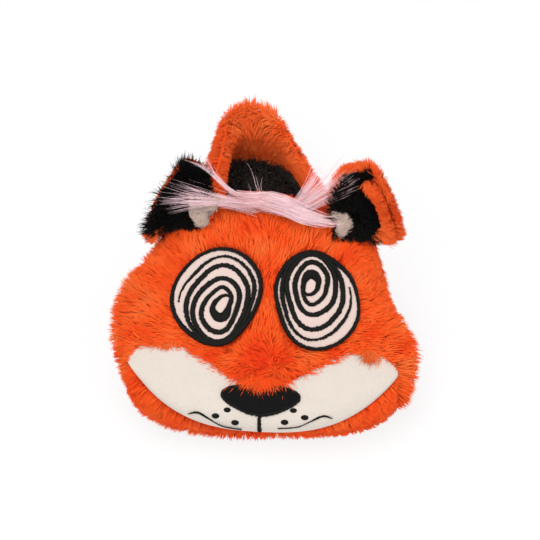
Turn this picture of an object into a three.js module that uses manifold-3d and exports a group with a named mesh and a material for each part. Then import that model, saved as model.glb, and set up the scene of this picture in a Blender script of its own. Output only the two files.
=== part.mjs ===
// A plush fox head on a closed-back slipper: a stuffed head over the toe, a foot opening behind two
// floppy ears, a padded heel wall that rises to a peak, and a foam sole.
// Millimetres, +Z up, the face looks towards -Y. Lengths along the object are measured from the front
// of the muzzle towards the heel and called "back"; the origin lies under the middle of the object.

import * as THREE from 'three';
import { mergeVertices } from 'three/addons/utils/BufferGeometryUtils.js';
import Module from 'manifold-3d';

const wasm = await Module();
wasm.setup();

// Clearances
const GAP = 0.3;
const EAR_GAP = 0.6;
const STUFFING_GAP = 1.2;
const SEAM_GAP = 0.45;
const FACET_GAP = 0.7;
const MERGE_DISTANCE = 1e-4;
const CUT_MARGIN = 2;

// Overall sizes
const LENGTH = 275;
const HEAD_HALF_WIDTH = 105;
const HEAD_FLOOR = 3;
const FUR_THICKNESS = 7.5;

// Side profile of the head
const BAND_BACK = 6;
const BAND_HEIGHT = 9;
const MUZZLE_HEIGHT = 29;
const NOSE_BACK = 17;
const NOSE_HEIGHT = 47;
const BROW_BACK = 62;
const BROW_HEIGHT = 70.5;
const FOREHEAD_BACK = 98;
const FOREHEAD_HEIGHT = 92.5;
const CROWN_BACK = 134;
const CROWN_HEIGHT = 111;
const THROAT_BACK = 152;
const THROAT_HEIGHT = 94;

// How the profile shrinks towards the cheeks
const CHEEK_BACK = 58;
const CHEEK_HEIGHT = 50;
const PLAN_POWER = 3;
const CROWN_POWER = 1.85;
const UNDER_POWER = 4;

// Pattern of the face, laid out on a plane tilted up from the floor: across, and up from the floor's edge
const PATTERN_TILT = THREE.MathUtils.degToRad(40);
const MUZZLE_TIP_ACROSS = 96;
const MUZZLE_TIP_UP = 61.5;
const MUZZLE_SEAM_UP = 15.2;
const MUZZLE_SEAM_POWER = 2.6;
const MUZZLE_TIP_OPEN = 1.5;
const EYE_CORE_ACROSS = 29.8;
const EYE_LEFT_CORE_UP = 103.1;
const EYE_RIGHT_CORE_UP = 119.3;
const EYE_REACH = 32;
const EYE_PATCH_THICKNESS = 1.3;
const EYE_OUTLINE_WIDTH = 3.7;
const STITCH_THICKNESS = 0.9;
const SPIRAL_TURNS = 4.4;
const SPIRAL_OUTER = 0.8;
const SPIRAL_INNER = 0.12;
const SPIRAL_WIDTH = 2.4;
const SPIRAL_STEPS = 20;
const NOSE_WIDTH = 55;
const NOSE_TOP_UP = 49;
const NOSE_TIP_UP = 28;
const NOSE_THICKNESS = 3;
const LINE_WIDTH = 2.4;
const DOT_WIDTH = 5.6;
const DOT_HEIGHT = 3.8;
const DOTS = [[23, 31], [30.8, 26.8], [17.5, 23.2]];
const MOUTH_LINE = [[49.5, 27], [43, 28.2], [35, 24.5], [26, 20.4], [13, 18.9]];

// Sole
const OUTSOLE_THICKNESS = 5;
const MIDSOLE_THICKNESS = 9;
const INSOLE_THICKNESS = 7;
const SOLE_TOE_BACK = 24;
const SOLE_HEEL_MARGIN = 7.6;
const SOLE_HALF_WIDTH = 53;
const SOLE_WAIST = 45;
const SOLE_BALL_LENGTH = 100;
const SOLE_HEEL_LENGTH = 87;
const HEEL_SWING = 27;
const SWING_START = 130;
const SWING_LENGTH = 140;
const SWING_POWER = 1.85;

// Toe pocket
const POCKET_TOE_BACK = 50;
const POCKET_FULL_BACK = 96;
const POCKET_HALF_WIDTH = 40;
const POCKET_TOE_HEIGHT = 38;
const POCKET_MOUTH_HEIGHT = 46;
const LINING_THICKNESS = 2;
const INSOLE_MARGIN = 2.6;

// Heel wall
const WALL_HALF_WIDTH = 56;
const WALL_HEEL_THICKNESS = 17;
const WALL_OUTER_FUR = 7;
const WALL_INNER_FUR = 5;
const WALL_TOP_RADIUS = 9;
const WALL_BULGE = 3;
const WALL_FLARE_LENGTH = 78;
const FOOT_HALF_WIDTH = 38;
const COLLAR_HEIGHT = 62;
const COLLAR_PEAK = 82;
const WALL_SEAM = 0.002;
const CREST_SEAM = 0.012;

// Ears
const EAR_BASE_INNER = 40;
const EAR_BASE_OUTER = 91;
const EAR_HEIGHT = 54;
const EAR_LEAN_BACK = 20;
const EAR_LEAN_OUT = { left: -8, right: 0 };
const EAR_CUP = 9;
const EAR_HEM_SLOPE = 1;
const EAR_BACK_FUR = 7;
const EAR_FRONT_FUR = 5;
const EAR_WADDING = 4;
const EAR_PATCH_THICKNESS = 2;
const EAR_CORE_FULLNESS = 0.6;
const EAR_BACK_EDGE = 0.2;
const EAR_CORE_EDGE = 0.5;
const EAR_FRONT_EDGE = 0.7;
const EAR_FRONT_SLACK = 0.1;
const EAR_TAPE_THICKNESS = 0.8;
const EAR_TAPE_WIDTH = 10;
const EAR_SEAM_BACK = 131;
const EAR_TIP_POWER = 3;
const EAR_TIP_SHARE = 0.99;

// Forelock
const FORELOCK_HALF_LENGTH = 20;
const FORELOCK_WIDTH = 15;
const FORELOCK_HEIGHT = 8;
const FORELOCK_BACK = 144;
const LOCK_LENGTH = 36;
const LOCK_HEIGHT = 6;
const LOCK_AHEAD = 17;
const LOCK_GAP = 0.4;

// Squeaker
const SQUEAKER_RADIUS = 14;
const SQUEAKER_HEIGHT = 15;
const SQUEAKER_BACK = 112;
const SQUEAKER_BASE = 64;
const REED_RADIUS = 3.5;
const REED_HEIGHT = 6;

// Colours and finish, one material for each cloth
const cloth = (name, color, roughness = 0.95) =>
  new THREE.MeshStandardMaterial({ name, color, roughness, metalness: 0 });
const materials = {
  orangeFur: cloth('orange fur', 0xf05a28),
  whitePlush: cloth('white plush', 0xe8e0d6),
  eyePlush: cloth('eye plush', 0xf0dcd4),
  blackFelt: cloth('black felt', 0x121210),
  blackThread: cloth('black thread', 0x141412, 0.7),
  blackFur: cloth('black fur', 0x121210),
  creamPlush: cloth('cream plush', 0xc8b9ac),
  pinkHair: cloth('pink hair', 0xebcdd0, 0.75),
  charcoalPlush: cloth('charcoal plush', 0x2d2828),
  canvas: cloth('sole canvas', 0x2a2726),
  foam: cloth('foam', 0xe9e2cf),
  lining: cloth('lining', 0x35302f),
  fibre: cloth('polyester fibre', 0xf4f4f2),
  vinyl: cloth('soft vinyl', 0xe6e6e0, 0.5),
  tape: cloth('seam tape', 0x222020),
};

// Interpolation

// A smooth open curve through [a, b] pairs
function curveThrough(pairs) {
  return new THREE.SplineCurve(pairs.map(([a, b]) => new THREE.Vector2(a, b)));
}

// The value at `at` of a smooth curve through [position, value] stations in rising order
function stationValue(stations, at) {
  const last = stations.length - 1;
  if (at <= stations[0][0]) return stations[0][1];
  if (at >= stations[last][0]) return stations[last][1];
  let i = 0;
  while (at > stations[i + 1][0]) i += 1;
  const slope = (k) => {
    if (k <= 0 || k >= last) return 0;
    const before = (stations[k][1] - stations[k - 1][1]) / (stations[k][0] - stations[k - 1][0]);
    const after = (stations[k + 1][1] - stations[k][1]) / (stations[k + 1][0] - stations[k][0]);
    return before * after <= 0 ? 0 : (2 * before * after) / (before + after);
  };
  const span = stations[i + 1][0] - stations[i][0];
  const s = (at - stations[i][0]) / span;
  const keep = 1 + s * s * (2 * s - 3);
  const leave = s * (1 + s * (s - 2)) * span * slope(i);
  const arrive = s * s * (s - 1) * span * slope(i + 1);
  return stations[i][1] * keep + stations[i + 1][1] * (1 - keep) + leave + arrive;
}

// The parameter between low and high at which a rising function reaches the target
function solveRising(valueAt, target, low, high) {
  let a = low;
  let b = high;
  for (let i = 0; i < 40; i += 1) {
    const middle = (a + b) / 2;
    if (valueAt(middle) < target) a = middle;
    else b = middle;
  }
  return (a + b) / 2;
}

// Solids

// One closed body from loose triangles: shared corners merged, slivers dropped, faces pointing out
function closedBody(triangles) {
  let geometry = new THREE.BufferGeometry();
  geometry.setAttribute('position', new THREE.Float32BufferAttribute(triangles.flat(2), 3));
  geometry = mergeVertices(geometry, MERGE_DISTANCE);
  const index = geometry.index.array;
  const at = geometry.attributes.position;
  const corner = (k) => new THREE.Vector3().fromBufferAttribute(at, k);
  const kept = [];
  let volume = 0;
  for (let i = 0; i < index.length; i += 3) {
    const [a, b, c] = index.slice(i, i + 3);
    if (a !== b && b !== c && c !== a) {
      kept.push([a, b, c]);
      volume += corner(a).dot(corner(b).cross(corner(c)));
    }
  }
  geometry.setIndex(kept.flatMap(([a, b, c]) => (volume > 0 ? [a, b, c] : [a, c, b])));
  return geometry;
}

function quad(a, b, c, d) {
  return [[a, b, c], [a, c, d]];
}

// A layer lying on a surface: place(u, v, side) gives its low (side 0) and high (side 1) faces over
// a grid in u and v. A ring closes on itself in u, and a ring's v = 0 may be a single point.
function layer(place, stepsU, stepsV, ring = false) {
  const at = (i, j, side) => place((ring ? i % stepsU : i) / stepsU, j / stepsV, side).toArray();
  const triangles = [];
  for (let i = 0; i < stepsU; i += 1) {
    for (let j = 0; j < stepsV; j += 1) {
      triangles.push(...quad(at(i, j, 1), at(i + 1, j, 1), at(i + 1, j + 1, 1), at(i, j + 1, 1)));
      triangles.push(...quad(at(i, j, 0), at(i, j + 1, 0), at(i + 1, j + 1, 0), at(i + 1, j, 0)));
    }
    triangles.push(...quad(at(i, 0, 0), at(i + 1, 0, 0), at(i + 1, 0, 1), at(i, 0, 1)));
    triangles.push(
      ...quad(at(i + 1, stepsV, 1), at(i + 1, stepsV, 0), at(i, stepsV, 0), at(i, stepsV, 1)),
    );
  }
  if (!ring) {
    for (let j = 0; j < stepsV; j += 1) {
      triangles.push(...quad(at(0, j, 1), at(0, j + 1, 1), at(0, j + 1, 0), at(0, j, 0)));
      triangles.push(
        ...quad(at(stepsU, j, 0), at(stepsU, j + 1, 0), at(stepsU, j + 1, 1), at(stepsU, j, 1)),
      );
    }
  }
  return closedBody(triangles);
}

// A loft: rows of closed sections from first to last, each end capped by a fan
function loft(section, stepsAlong, stepsAround) {
  const at = (i, j) => section(i / stepsAlong, (j % stepsAround) / stepsAround).toArray();
  const triangles = [];
  for (let i = 0; i < stepsAlong; i += 1) {
    for (let j = 0; j < stepsAround; j += 1) {
      triangles.push(...quad(at(i, j), at(i + 1, j), at(i + 1, j + 1), at(i, j + 1)));
    }
  }
  for (const [i, turned] of [[0, false], [stepsAlong, true]]) {
    const middle = new THREE.Vector3();
    for (let j = 0; j < stepsAround; j += 1) {
      middle.add(new THREE.Vector3(...at(i, j)).divideScalar(stepsAround));
    }
    for (let j = 0; j < stepsAround; j += 1) {
      const edge = turned ? [at(i, j + 1), at(i, j)] : [at(i, j), at(i, j + 1)];
      triangles.push([middle.toArray(), ...edge]);
    }
  }
  return closedBody(triangles);
}

// An upright slab between two heights, from an outline of [across, back] points
function slab(outline, bottom, top) {
  const shape = new THREE.Shape(outline.map(([x, back]) => new THREE.Vector2(x, back - LENGTH / 2)));
  const geometry = new THREE.ExtrudeGeometry(shape, {
    depth: top - bottom,
    bevelEnabled: false,
    curveSegments: 1,
  });
  geometry.translate(0, 0, bottom);
  return geometry;
}

function toSolid(geometry) {
  const bare = geometry.clone();
  bare.deleteAttribute('normal');
  bare.deleteAttribute('uv');
  const merged = mergeVertices(bare, MERGE_DISTANCE);
  return new wasm.Manifold(new wasm.Mesh({
    numProp: 3,
    vertProperties: new Float32Array(merged.attributes.position.array),
    triVerts: new Uint32Array(merged.index.array),
  }));
}

function fromSolid(solid) {
  const mesh = solid.getMesh();
  const geometry = new THREE.BufferGeometry();
  geometry.setAttribute('position', new THREE.BufferAttribute(mesh.vertProperties, 3));
  geometry.setIndex(new THREE.BufferAttribute(mesh.triVerts, 1));
  return geometry;
}

function cut(geometry, ...tools) {
  return fromSolid(tools.reduce((solid, tool) => solid.subtract(toSolid(tool)), toSolid(geometry)));
}

function keepWithin(geometry, tool) {
  return fromSolid(toSolid(geometry).intersect(toSolid(tool)));
}

// A point from its distance across, back from the muzzle front, and up
function point(across, back, up) {
  return new THREE.Vector3(across, back - LENGTH / 2, up);
}

// The head, a side profile swept from cheek to cheek while it shrinks about the cheeks' centre

const headProfile = curveThrough([
  [BAND_BACK + 8, HEAD_FLOOR],
  [BAND_BACK, BAND_HEIGHT],
  [BAND_BACK - 0.5, (BAND_HEIGHT + MUZZLE_HEIGHT) * 0.4],
  [BAND_BACK * 0.4, (BAND_HEIGHT + MUZZLE_HEIGHT) * 0.55],
  [0, MUZZLE_HEIGHT],
  [NOSE_BACK * 0.26, (MUZZLE_HEIGHT + NOSE_HEIGHT) / 2],
  [NOSE_BACK, NOSE_HEIGHT],
  [(NOSE_BACK + BROW_BACK) * 0.47, NOSE_HEIGHT + (BROW_HEIGHT - NOSE_HEIGHT) * 0.4],
  [BROW_BACK, BROW_HEIGHT],
  [FOREHEAD_BACK, FOREHEAD_HEIGHT],
  [(FOREHEAD_BACK + CROWN_BACK) * 0.505, FOREHEAD_HEIGHT + (CROWN_HEIGHT - FOREHEAD_HEIGHT) * 0.72],
  [CROWN_BACK, CROWN_HEIGHT],
  [(CROWN_BACK + 2 * THROAT_BACK) / 3 + 1, (2 * CROWN_HEIGHT + THROAT_HEIGHT) / 3],
  [THROAT_BACK, THROAT_HEIGHT],
  [THROAT_BACK, THROAT_HEIGHT * 0.6],
  [THROAT_BACK - 2, THROAT_HEIGHT * 0.25],
  [THROAT_BACK - 5, HEAD_FLOOR],
]);

// The profile at t from the front floor edge (0) to the back floor edge (1), moved out by `out`
function profilePoint(t, out) {
  const middle = headProfile.getPoint(t);
  const tangent = headProfile.getTangent(t);
  return {
    back: middle.x - tangent.y * out,
    up: Math.max(middle.y + tangent.x * out, HEAD_FLOOR - out),
  };
}

// The sweep angle, -90 to 90 degrees, at which the head reaches a distance across
function sweepAngle(across) {
  const share = THREE.MathUtils.clamp(Math.abs(across) / HEAD_HALF_WIDTH, 1e-6, 1);
  return Math.sign(across) * Math.atan2(1, (share ** -PLAN_POWER - 1) ** (1 / PLAN_POWER));
}

// A profile point carried to a sweep angle
function swept(angle, flat, out) {
  const sine = Math.abs(Math.sin(angle));
  const cosine = Math.abs(Math.cos(angle));
  const radius = (sine ** PLAN_POWER + cosine ** PLAN_POWER) ** (-1 / PLAN_POWER);
  const share = Math.min(sine * radius, 1);
  const above = flat.up > CHEEK_HEIGHT;
  const power = above ? CROWN_POWER : UNDER_POWER;
  const squeeze = (1 - share ** power) ** (1 / power);
  return point(
    Math.sign(angle) * share * (HEAD_HALF_WIDTH + out),
    CHEEK_BACK + (flat.back - CHEEK_BACK) * cosine * radius,
    CHEEK_HEIGHT + (flat.up - CHEEK_HEIGHT) * squeeze,
  );
}

function headPoint(angle, t, out) {
  return swept(angle, profilePoint(t, out), out);
}

// A point of the flat underside, from its front edge (0) to its back edge (1)
function undersidePoint(angle, along, out) {
  const front = profilePoint(0, out);
  const rear = profilePoint(1, out);
  const flat = {
    back: THREE.MathUtils.lerp(front.back, rear.back, along),
    up: THREE.MathUtils.lerp(front.up, rear.up, along),
  };
  return swept(angle, flat, out);
}

// The whole head as one closed form at a list of sweep angles, moved out by `out`
function headForm(out, angles) {
  const [over, under] = HEAD_STEPS;
  const top = over / (over + under);
  const place = (u, v) => {
    const angle = angles[Math.round(u * (angles.length - 1))];
    return v < top ? headPoint(angle, v / top, out)
      : undersidePoint(angle, 1 - (v - top) / (1 - top), out);
  };
  return loft(place, angles.length - 1, over + under);
}

// How far a head point lies up the face pattern
function patternUp(spot) {
  const back = spot.y + LENGTH / 2;
  return back * Math.cos(PATTERN_TILT) + spot.z * Math.sin(PATTERN_TILT);
}

const BAND_T = solveRising((t) => profilePoint(t, 0).up, BAND_HEIGHT, 0, 0.3);
const CROWN_T = solveRising((t) => profilePoint(t, 0).back, CROWN_BACK, 0.3, 0.75);
const FORELOCK_T = solveRising((t) => profilePoint(t, 0).back, FORELOCK_BACK, 0.3, 0.78);
const EAR_SEAM_T = solveRising((t) => profilePoint(t, 0).back, EAR_SEAM_BACK, 0.3, 0.78);

// The profile position that lies `up` the face pattern, at a sweep angle
function patternT(angle, up) {
  return solveRising((t) => patternUp(headPoint(angle, t, 0)), up, BAND_T, CROWN_T);
}

// A point on the face from its pattern position, `out` above the fur
function facePoint(across, up, out) {
  const angle = sweepAngle(across);
  return headPoint(angle, patternT(angle, up), out);
}

// Seams of the muzzle
function lowerSeamUp(across) {
  const share = Math.min(Math.abs(across) / MUZZLE_TIP_ACROSS, 1);
  return MUZZLE_SEAM_UP + (MUZZLE_TIP_UP - MUZZLE_TIP_OPEN - MUZZLE_SEAM_UP) * share ** MUZZLE_SEAM_POWER;
}

const upperSeam = [
  [0, NOSE_TOP_UP - 2],
  [MUZZLE_TIP_ACROSS * 0.2, NOSE_TOP_UP + 2],
  [MUZZLE_TIP_ACROSS * 0.47, MUZZLE_TIP_UP + 4],
  [MUZZLE_TIP_ACROSS * 0.69, MUZZLE_TIP_UP + 11.5],
  [MUZZLE_TIP_ACROSS * 0.85, MUZZLE_TIP_UP + 10.5],
  [MUZZLE_TIP_ACROSS * 0.96, MUZZLE_TIP_UP + 5],
  [MUZZLE_TIP_ACROSS, MUZZLE_TIP_UP + MUZZLE_TIP_OPEN],
];

function upperSeamUp(across) {
  return stationValue(upperSeam, Math.abs(across));
}

const TIP_ANGLE = sweepAngle(MUZZLE_TIP_ACROSS);

function seamT(angle, seamUp) {
  const held = THREE.MathUtils.clamp(angle, -TIP_ANGLE, TIP_ANGLE);
  const across = swept(held, { back: 0, up: CHEEK_HEIGHT }, 0).x;
  return patternT(held, seamUp(across));
}

// Half a seam gap, as a share of the profile's length
const HALF_GAP_T = SEAM_GAP / 2 / headProfile.getLength();

// Sweep angles that every piece of the head shares, so that neighbours have the same facets
const SIDE_ANGLE = Math.PI / 2;
const PANEL_ANGLE = SIDE_ANGLE * 0.985;
const HEAD_STEPS = [27, 4];

function anglesTo(from, to, steps) {
  return Array.from({ length: steps }, (_, i) => from + ((i + 1) * (to - from)) / steps);
}

const muzzleHalf = anglesTo(0, TIP_ANGLE, 9);
const panelHalf = [...muzzleHalf, ...anglesTo(TIP_ANGLE, PANEL_ANGLE, 3)];
const bothSides = (half) => [...half.map((angle) => -angle).reverse(), 0, ...half];
const wholeAngles = bothSides([...panelHalf, SIDE_ANGLE]);

// A fur or plush panel of the head at a list of sweep angles, between two seams
function headPanel(angles, seams, steps) {
  const place = (u, v, side) => {
    const angle = angles[Math.round(u * (angles.length - 1))];
    const t = THREE.MathUtils.lerp(seams[0](angle) + HALF_GAP_T, seams[1](angle) - HALF_GAP_T, v);
    return headPoint(angle, t, side ? 0 : -FUR_THICKNESS);
  };
  return layer(place, angles.length - 1, steps);
}

// Sole outlines

// How far the foot's centre line swings to one side on its way to the heel
function swing(back) {
  return -HEEL_SWING * (Math.max(back - SWING_START, 0) / SWING_LENGTH) ** SWING_POWER;
}

// A closed outline from half widths [half, back], mirrored about the swinging centre line
function footOutline(half, steps, grow = 0) {
  const side = curveThrough(half).getSpacedPoints(steps);
  const right = side.map((p) => [swing(p.y) + p.x, p.y]);
  const left = side.slice(1, -1).reverse().map((p) => [swing(p.y) - p.x, p.y]);
  const ring = [...right, ...left];
  return ring.map(([x, back], i) => {
    const before = ring[(i + ring.length - 1) % ring.length];
    const after = ring[(i + 1) % ring.length];
    const along = new THREE.Vector2(after[0] - before[0], after[1] - before[1]).normalize();
    return [x + along.y * grow, back - along.x * grow];
  });
}

const SOLE_HEEL_BACK = LENGTH - SOLE_HEEL_MARGIN;
const soleHalves = [
  [0, SOLE_TOE_BACK],
  [SOLE_HALF_WIDTH * 0.52, SOLE_TOE_BACK + 6],
  [SOLE_HALF_WIDTH * 0.86, SOLE_TOE_BACK + 28],
  [SOLE_HALF_WIDTH, SOLE_TOE_BACK + 62],
  [SOLE_HALF_WIDTH, SOLE_TOE_BACK + SOLE_BALL_LENGTH],
  [(SOLE_HALF_WIDTH + SOLE_WAIST) / 2, SOLE_HEEL_BACK - SOLE_HEEL_LENGTH],
  [SOLE_WAIST - 4, SOLE_HEEL_BACK - 42],
  [SOLE_WAIST - 12, SOLE_HEEL_BACK - 17],
  [SOLE_WAIST * 0.4, SOLE_HEEL_BACK - 3.5],
  [0, SOLE_HEEL_BACK],
];

// Heel wall, swept along paired outer and inner outlines from the head round the heel

const WALL_START = CROWN_BACK - 16;
const INNER_HEEL_BACK = LENGTH - WALL_HEEL_THICKNESS;
const wallOuter = curveThrough([
  [HEAD_HALF_WIDTH * 0.87, WALL_START],
  [HEAD_HALF_WIDTH * 0.76, WALL_START + 24],
  [WALL_HALF_WIDTH + 10, WALL_START + 50],
  [WALL_HALF_WIDTH, WALL_START + WALL_FLARE_LENGTH],
  [WALL_HALF_WIDTH - 6, LENGTH - 49],
  [WALL_HALF_WIDTH - 16, LENGTH - 22],
  [WALL_HALF_WIDTH * 0.43, LENGTH - 5.5],
  [0, LENGTH],
]);
const wallInner = curveThrough([
  [FOOT_HALF_WIDTH, WALL_START],
  [FOOT_HALF_WIDTH, WALL_START + 24],
  [FOOT_HALF_WIDTH, WALL_START + 50],
  [FOOT_HALF_WIDTH - 1, WALL_START + WALL_FLARE_LENGTH - 2],
  [FOOT_HALF_WIDTH - 4, INNER_HEEL_BACK - 34],
  [FOOT_HALF_WIDTH - 12, INNER_HEEL_BACK - 13],
  [FOOT_HALF_WIDTH * 0.36, INNER_HEEL_BACK - 3],
  [0, INNER_HEEL_BACK],
]);
const collarStations = [
  [WALL_START, COLLAR_HEIGHT + 2],
  [WALL_START + 57, COLLAR_HEIGHT - 2],
  [LENGTH - 68, COLLAR_HEIGHT + 1],
  [LENGTH - 44, COLLAR_HEIGHT + 5],
  [LENGTH - 25, COLLAR_PEAK - 6],
  [LENGTH - 8, COLLAR_PEAK - 1],
  [LENGTH, COLLAR_PEAK],
];
const leanStations = [
  [WALL_START, 0],
  [WALL_START + 50, 5],
  [LENGTH - 70, 8],
  [LENGTH - 45, 12],
  [LENGTH - 22, 13],
  [LENGTH, 4],
];

// A point of the wall's section: `turn` runs from the outer foot (0) over the top (1) to the inner
// foot (2), `round` runs from the left front (-1) past the heel (0) to the right front (1)
function wallPoint(round, turn, inset, bottom) {
  const along = 1 - Math.abs(round);
  const outer = wallOuter.getPoint(along);
  const inner = wallInner.getPoint(along);
  const across = inner.clone().sub(outer);
  const width = across.length();
  across.normalize();
  const top = stationValue(collarStations, outer.y);
  const lean = stationValue(leanStations, outer.y);
  const shoulder = top - WALL_TOP_RADIUS;
  const straight = 0.7;
  const outside = turn <= 1;
  const climb = Math.min(outside ? turn : 2 - turn, 1);
  const rise = Math.min(climb / straight, 1);
  const up = THREE.MathUtils.lerp(bottom, shoulder, rise);
  const height = (up - HEAD_FLOOR) / (shoulder - HEAD_FLOOR);
  const shift = lean * height ** 1.6;
  const swell = WALL_BULGE * Math.sin(Math.PI * Math.min(height, 1) * 0.9);
  const outerAt = shift - swell;
  const innerAt = width + shift * 0.8;
  let inward = outside ? outerAt + inset : innerAt - inset;
  let level = up;
  if (climb > straight) {
    const arc = ((climb - straight) / (1 - straight)) * (Math.PI / 2);
    const half = (innerAt - outerAt) / 2;
    const reach = Math.max(half - inset, 0) * Math.cos(arc);
    inward = (innerAt + outerAt) / 2 + (outside ? -reach : reach);
    level = shoulder + (WALL_TOP_RADIUS - Math.min(inset, WALL_TOP_RADIUS - 1)) * Math.sin(arc);
  }
  const spot = outer.clone().addScaledVector(across, inward);
  const side = Math.sign(round);
  return point(swing(spot.y) + side * spot.x, spot.y, level);
}

// One fur of the wall between two rounds and two turns
function wallFur(rounds, turns, thickness, bottom, steps) {
  const place = (u, v, side) => wallPoint(
    THREE.MathUtils.lerp(rounds[0], rounds[1], u),
    THREE.MathUtils.lerp(turns[0], turns[1], v),
    side ? 0 : thickness,
    bottom,
  );
  return layer(place, steps[0], steps[1]);
}

// The foam between the furs, a closed section swept round the heel
function wallFoam(bottom, steps) {
  const section = (u, v) => {
    const turn = v * 2;
    const inset = (turn <= 1 ? WALL_OUTER_FUR : WALL_INNER_FUR) + FACET_GAP;
    return wallPoint(THREE.MathUtils.lerp(-1, 1, u), turn, inset, bottom);
  };
  return loft(section, steps[0], steps[1]);
}

// The toe pocket, an arched form closed at the toe, grown by `grow` and let down by `drop`
function pocketForm(grow, drop) {
  const mouth = THROAT_BACK + CUT_MARGIN * 6;
  const floor = OUTSOLE_THICKNESS + MIDSOLE_THICKNESS + GAP;
  const nose = 0.45;
  const section = (u, v) => {
    const round = Math.min(u / nose, 1) * (Math.PI / 2);
    const tail = Math.max((u - nose) / (1 - nose), 0);
    const length = POCKET_FULL_BACK - POCKET_TOE_BACK + grow;
    const back = u < nose ? POCKET_FULL_BACK - length * Math.cos(round)
      : THREE.MathUtils.lerp(POCKET_FULL_BACK, mouth, tail);
    const fullness = Math.sin(round) ** 0.75;
    const height = THREE.MathUtils.lerp(POCKET_TOE_HEIGHT, POCKET_MOUTH_HEIGHT, tail);
    const half = (POCKET_HALF_WIDTH + grow) * fullness;
    const arch = Math.PI * Math.min(v / 0.8, 1);
    const flat = Math.max((v - 0.8) / 0.2, 0);
    const x = Math.sign(Math.cos(arch)) * Math.abs(Math.cos(arch)) ** 0.75 * half;
    const z = (height + grow) * fullness * Math.sin(arch) ** 0.75;
    const under = flat > 0;
    return point(under ? THREE.MathUtils.lerp(-half, half, flat) : x, back, floor + (under ? -drop : z));
  };
  return loft(section, 9, 20);
}

// Ears, thin cupped forms that stand on the crown and follow its dome along the base

const EAR_CENTRE = (EAR_BASE_INNER + EAR_BASE_OUTER) / 2;
const EAR_HALF_BASE = (EAR_BASE_OUTER - EAR_BASE_INNER) / 2;
const EAR_SEAT = GAP + EAR_TAPE_THICKNESS + EAR_GAP;

function earBase(across) {
  return headPoint(sweepAngle(across), EAR_SEAM_T, EAR_SEAT);
}

const earInnerEnd = earBase(EAR_BASE_INNER);
const earOuterEnd = earBase(EAR_BASE_OUTER);
const earAlong = earOuterEnd.clone().sub(earInnerEnd).normalize();

// Which way each ear stands, seen as a right ear
const earRises = {};
const earFacings = {};
for (const [name, lean] of Object.entries(EAR_LEAN_OUT)) {
  earRises[name] = new THREE.Vector3(lean, EAR_LEAN_BACK, EAR_HEIGHT).normalize();
  earFacings[name] = earAlong.clone().cross(earRises[name]).normalize();
}

// How wide an ear's layer is at a share of its own height
const leaf = (rise) => (1 - Math.min(rise, EAR_TIP_SHARE) ** EAR_TIP_POWER) ** 0.5;
const triangle = (rise) => 1 - 0.9 * rise;

// A point of an ear, seen as a right ear: across -1 (inner) to 1 (outer), rise 0 (base) to 1 (tip),
// `out` towards the front
function earPoint(name, across, rise, out) {
  const base = earBase(EAR_CENTRE + EAR_HALF_BASE * across * leaf(rise));
  const cup = EAR_CUP * (1 - across ** 2) * Math.sin(Math.PI * Math.min(rise, 0.9) * 0.6);
  const lift = Math.abs(out) * EAR_HEM_SLOPE * (1 - rise) ** 6;
  return base
    .addScaledVector(earRises[name], rise * EAR_HEIGHT + lift)
    .addScaledVector(earFacings[name], out - cup);
}

// The ear's fullness, thin at its edge and at the seam it turns on
function earFullness(across, rise) {
  const edge = (1 - Math.abs(across) ** 3) * (1 - rise ** 4);
  const base = THREE.MathUtils.smoothstep(rise, -0.1, 0.3);
  return 0.12 + 0.88 * Math.max(edge, 0) ** 0.6 * base;
}

// A layer of an ear over an area of its own outline, mirrored for the left ear
function earLayer(name, side, area, from, to, steps) {
  const place = (u, v, high) => {
    const rise = THREE.MathUtils.lerp(area.low, area.high, v);
    const middle = (area.inner + area.outer) / 2;
    const reach = (area.outer - area.inner) * (u - 0.5) * (area.outline(v) / leaf(rise));
    const across = middle + reach;
    const share = earFullness(across, rise);
    const [fixed, full] = high ? to : from;
    const spot = earPoint(name, across, rise, fixed + full * share);
    spot.x *= side;
    return spot;
  };
  return layer(place, steps[0], steps[1]);
}

// Embroidery: a ribbon of thread along a curve on the face, between two heights over the fur
function stitchedLine(curveAt, halfWidthAt, steps, low, thickness) {
  const place = (u, v, side) => {
    const here = curveAt(u);
    const step = 1e-3;
    const before = curveAt(Math.max(u - step, 0));
    const after = curveAt(Math.min(u + step, 1));
    const along = after.sub(before).normalize();
    const off = (v - 0.5) * 2 * halfWidthAt(u);
    return facePoint(here.x - along.y * off, here.y + along.x * off, low + (side ? thickness : 0));
  };
  return layer(place, steps, 1);
}

// Eyes: each patch's edge lies at these shares of EYE_REACH from the core of its spiral, an eighth of
// a turn apart, clockwise from the spiral's outer end. The core is off the patch's middle, so the
// rings bunch on one side; the two eyes are sewn differently, one roughly turned half round.
const EYES = {
  left: { up: EYE_LEFT_CORE_UP, start: 0.5, edge: [1.14, 1.22, 1.24, 1.03, 0.78, 0.75, 0.94, 1.01] },
  right: { up: EYE_RIGHT_CORE_UP, start: 0, edge: [0.96, 1.36, 1.39, 0.96, 0.79, 0.77, 0.8, 0.73] },
};

// A value between those of a closed ring of even stations, by a smooth curve through them
function ringValue(values, turn) {
  const spot = THREE.MathUtils.euclideanModulo(turn, 1) * values.length;
  const first = Math.floor(spot);
  const [a, b, c, d] = [-1, 0, 1, 2].map((k) => values[(first + k + values.length) % values.length]);
  const f = spot - first;
  return b + 0.5 * f * (c - a + f * (2 * a - 5 * b + 4 * c - d + f * (3 * (b - c) + d - a)));
}

// A point of an eye: turns run clockwise from the spiral's outer end, shares from the core to the edge
function eyeSpot(name, side, turn, share) {
  const eye = EYES[name];
  const angle = (eye.start - turn) * Math.PI * 2;
  const reach = EYE_REACH * ringValue(eye.edge, turn) * share;
  return new THREE.Vector2(
    side * EYE_CORE_ACROSS + Math.cos(angle) * reach,
    eye.up + Math.sin(angle) * reach,
  );
}

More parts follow.
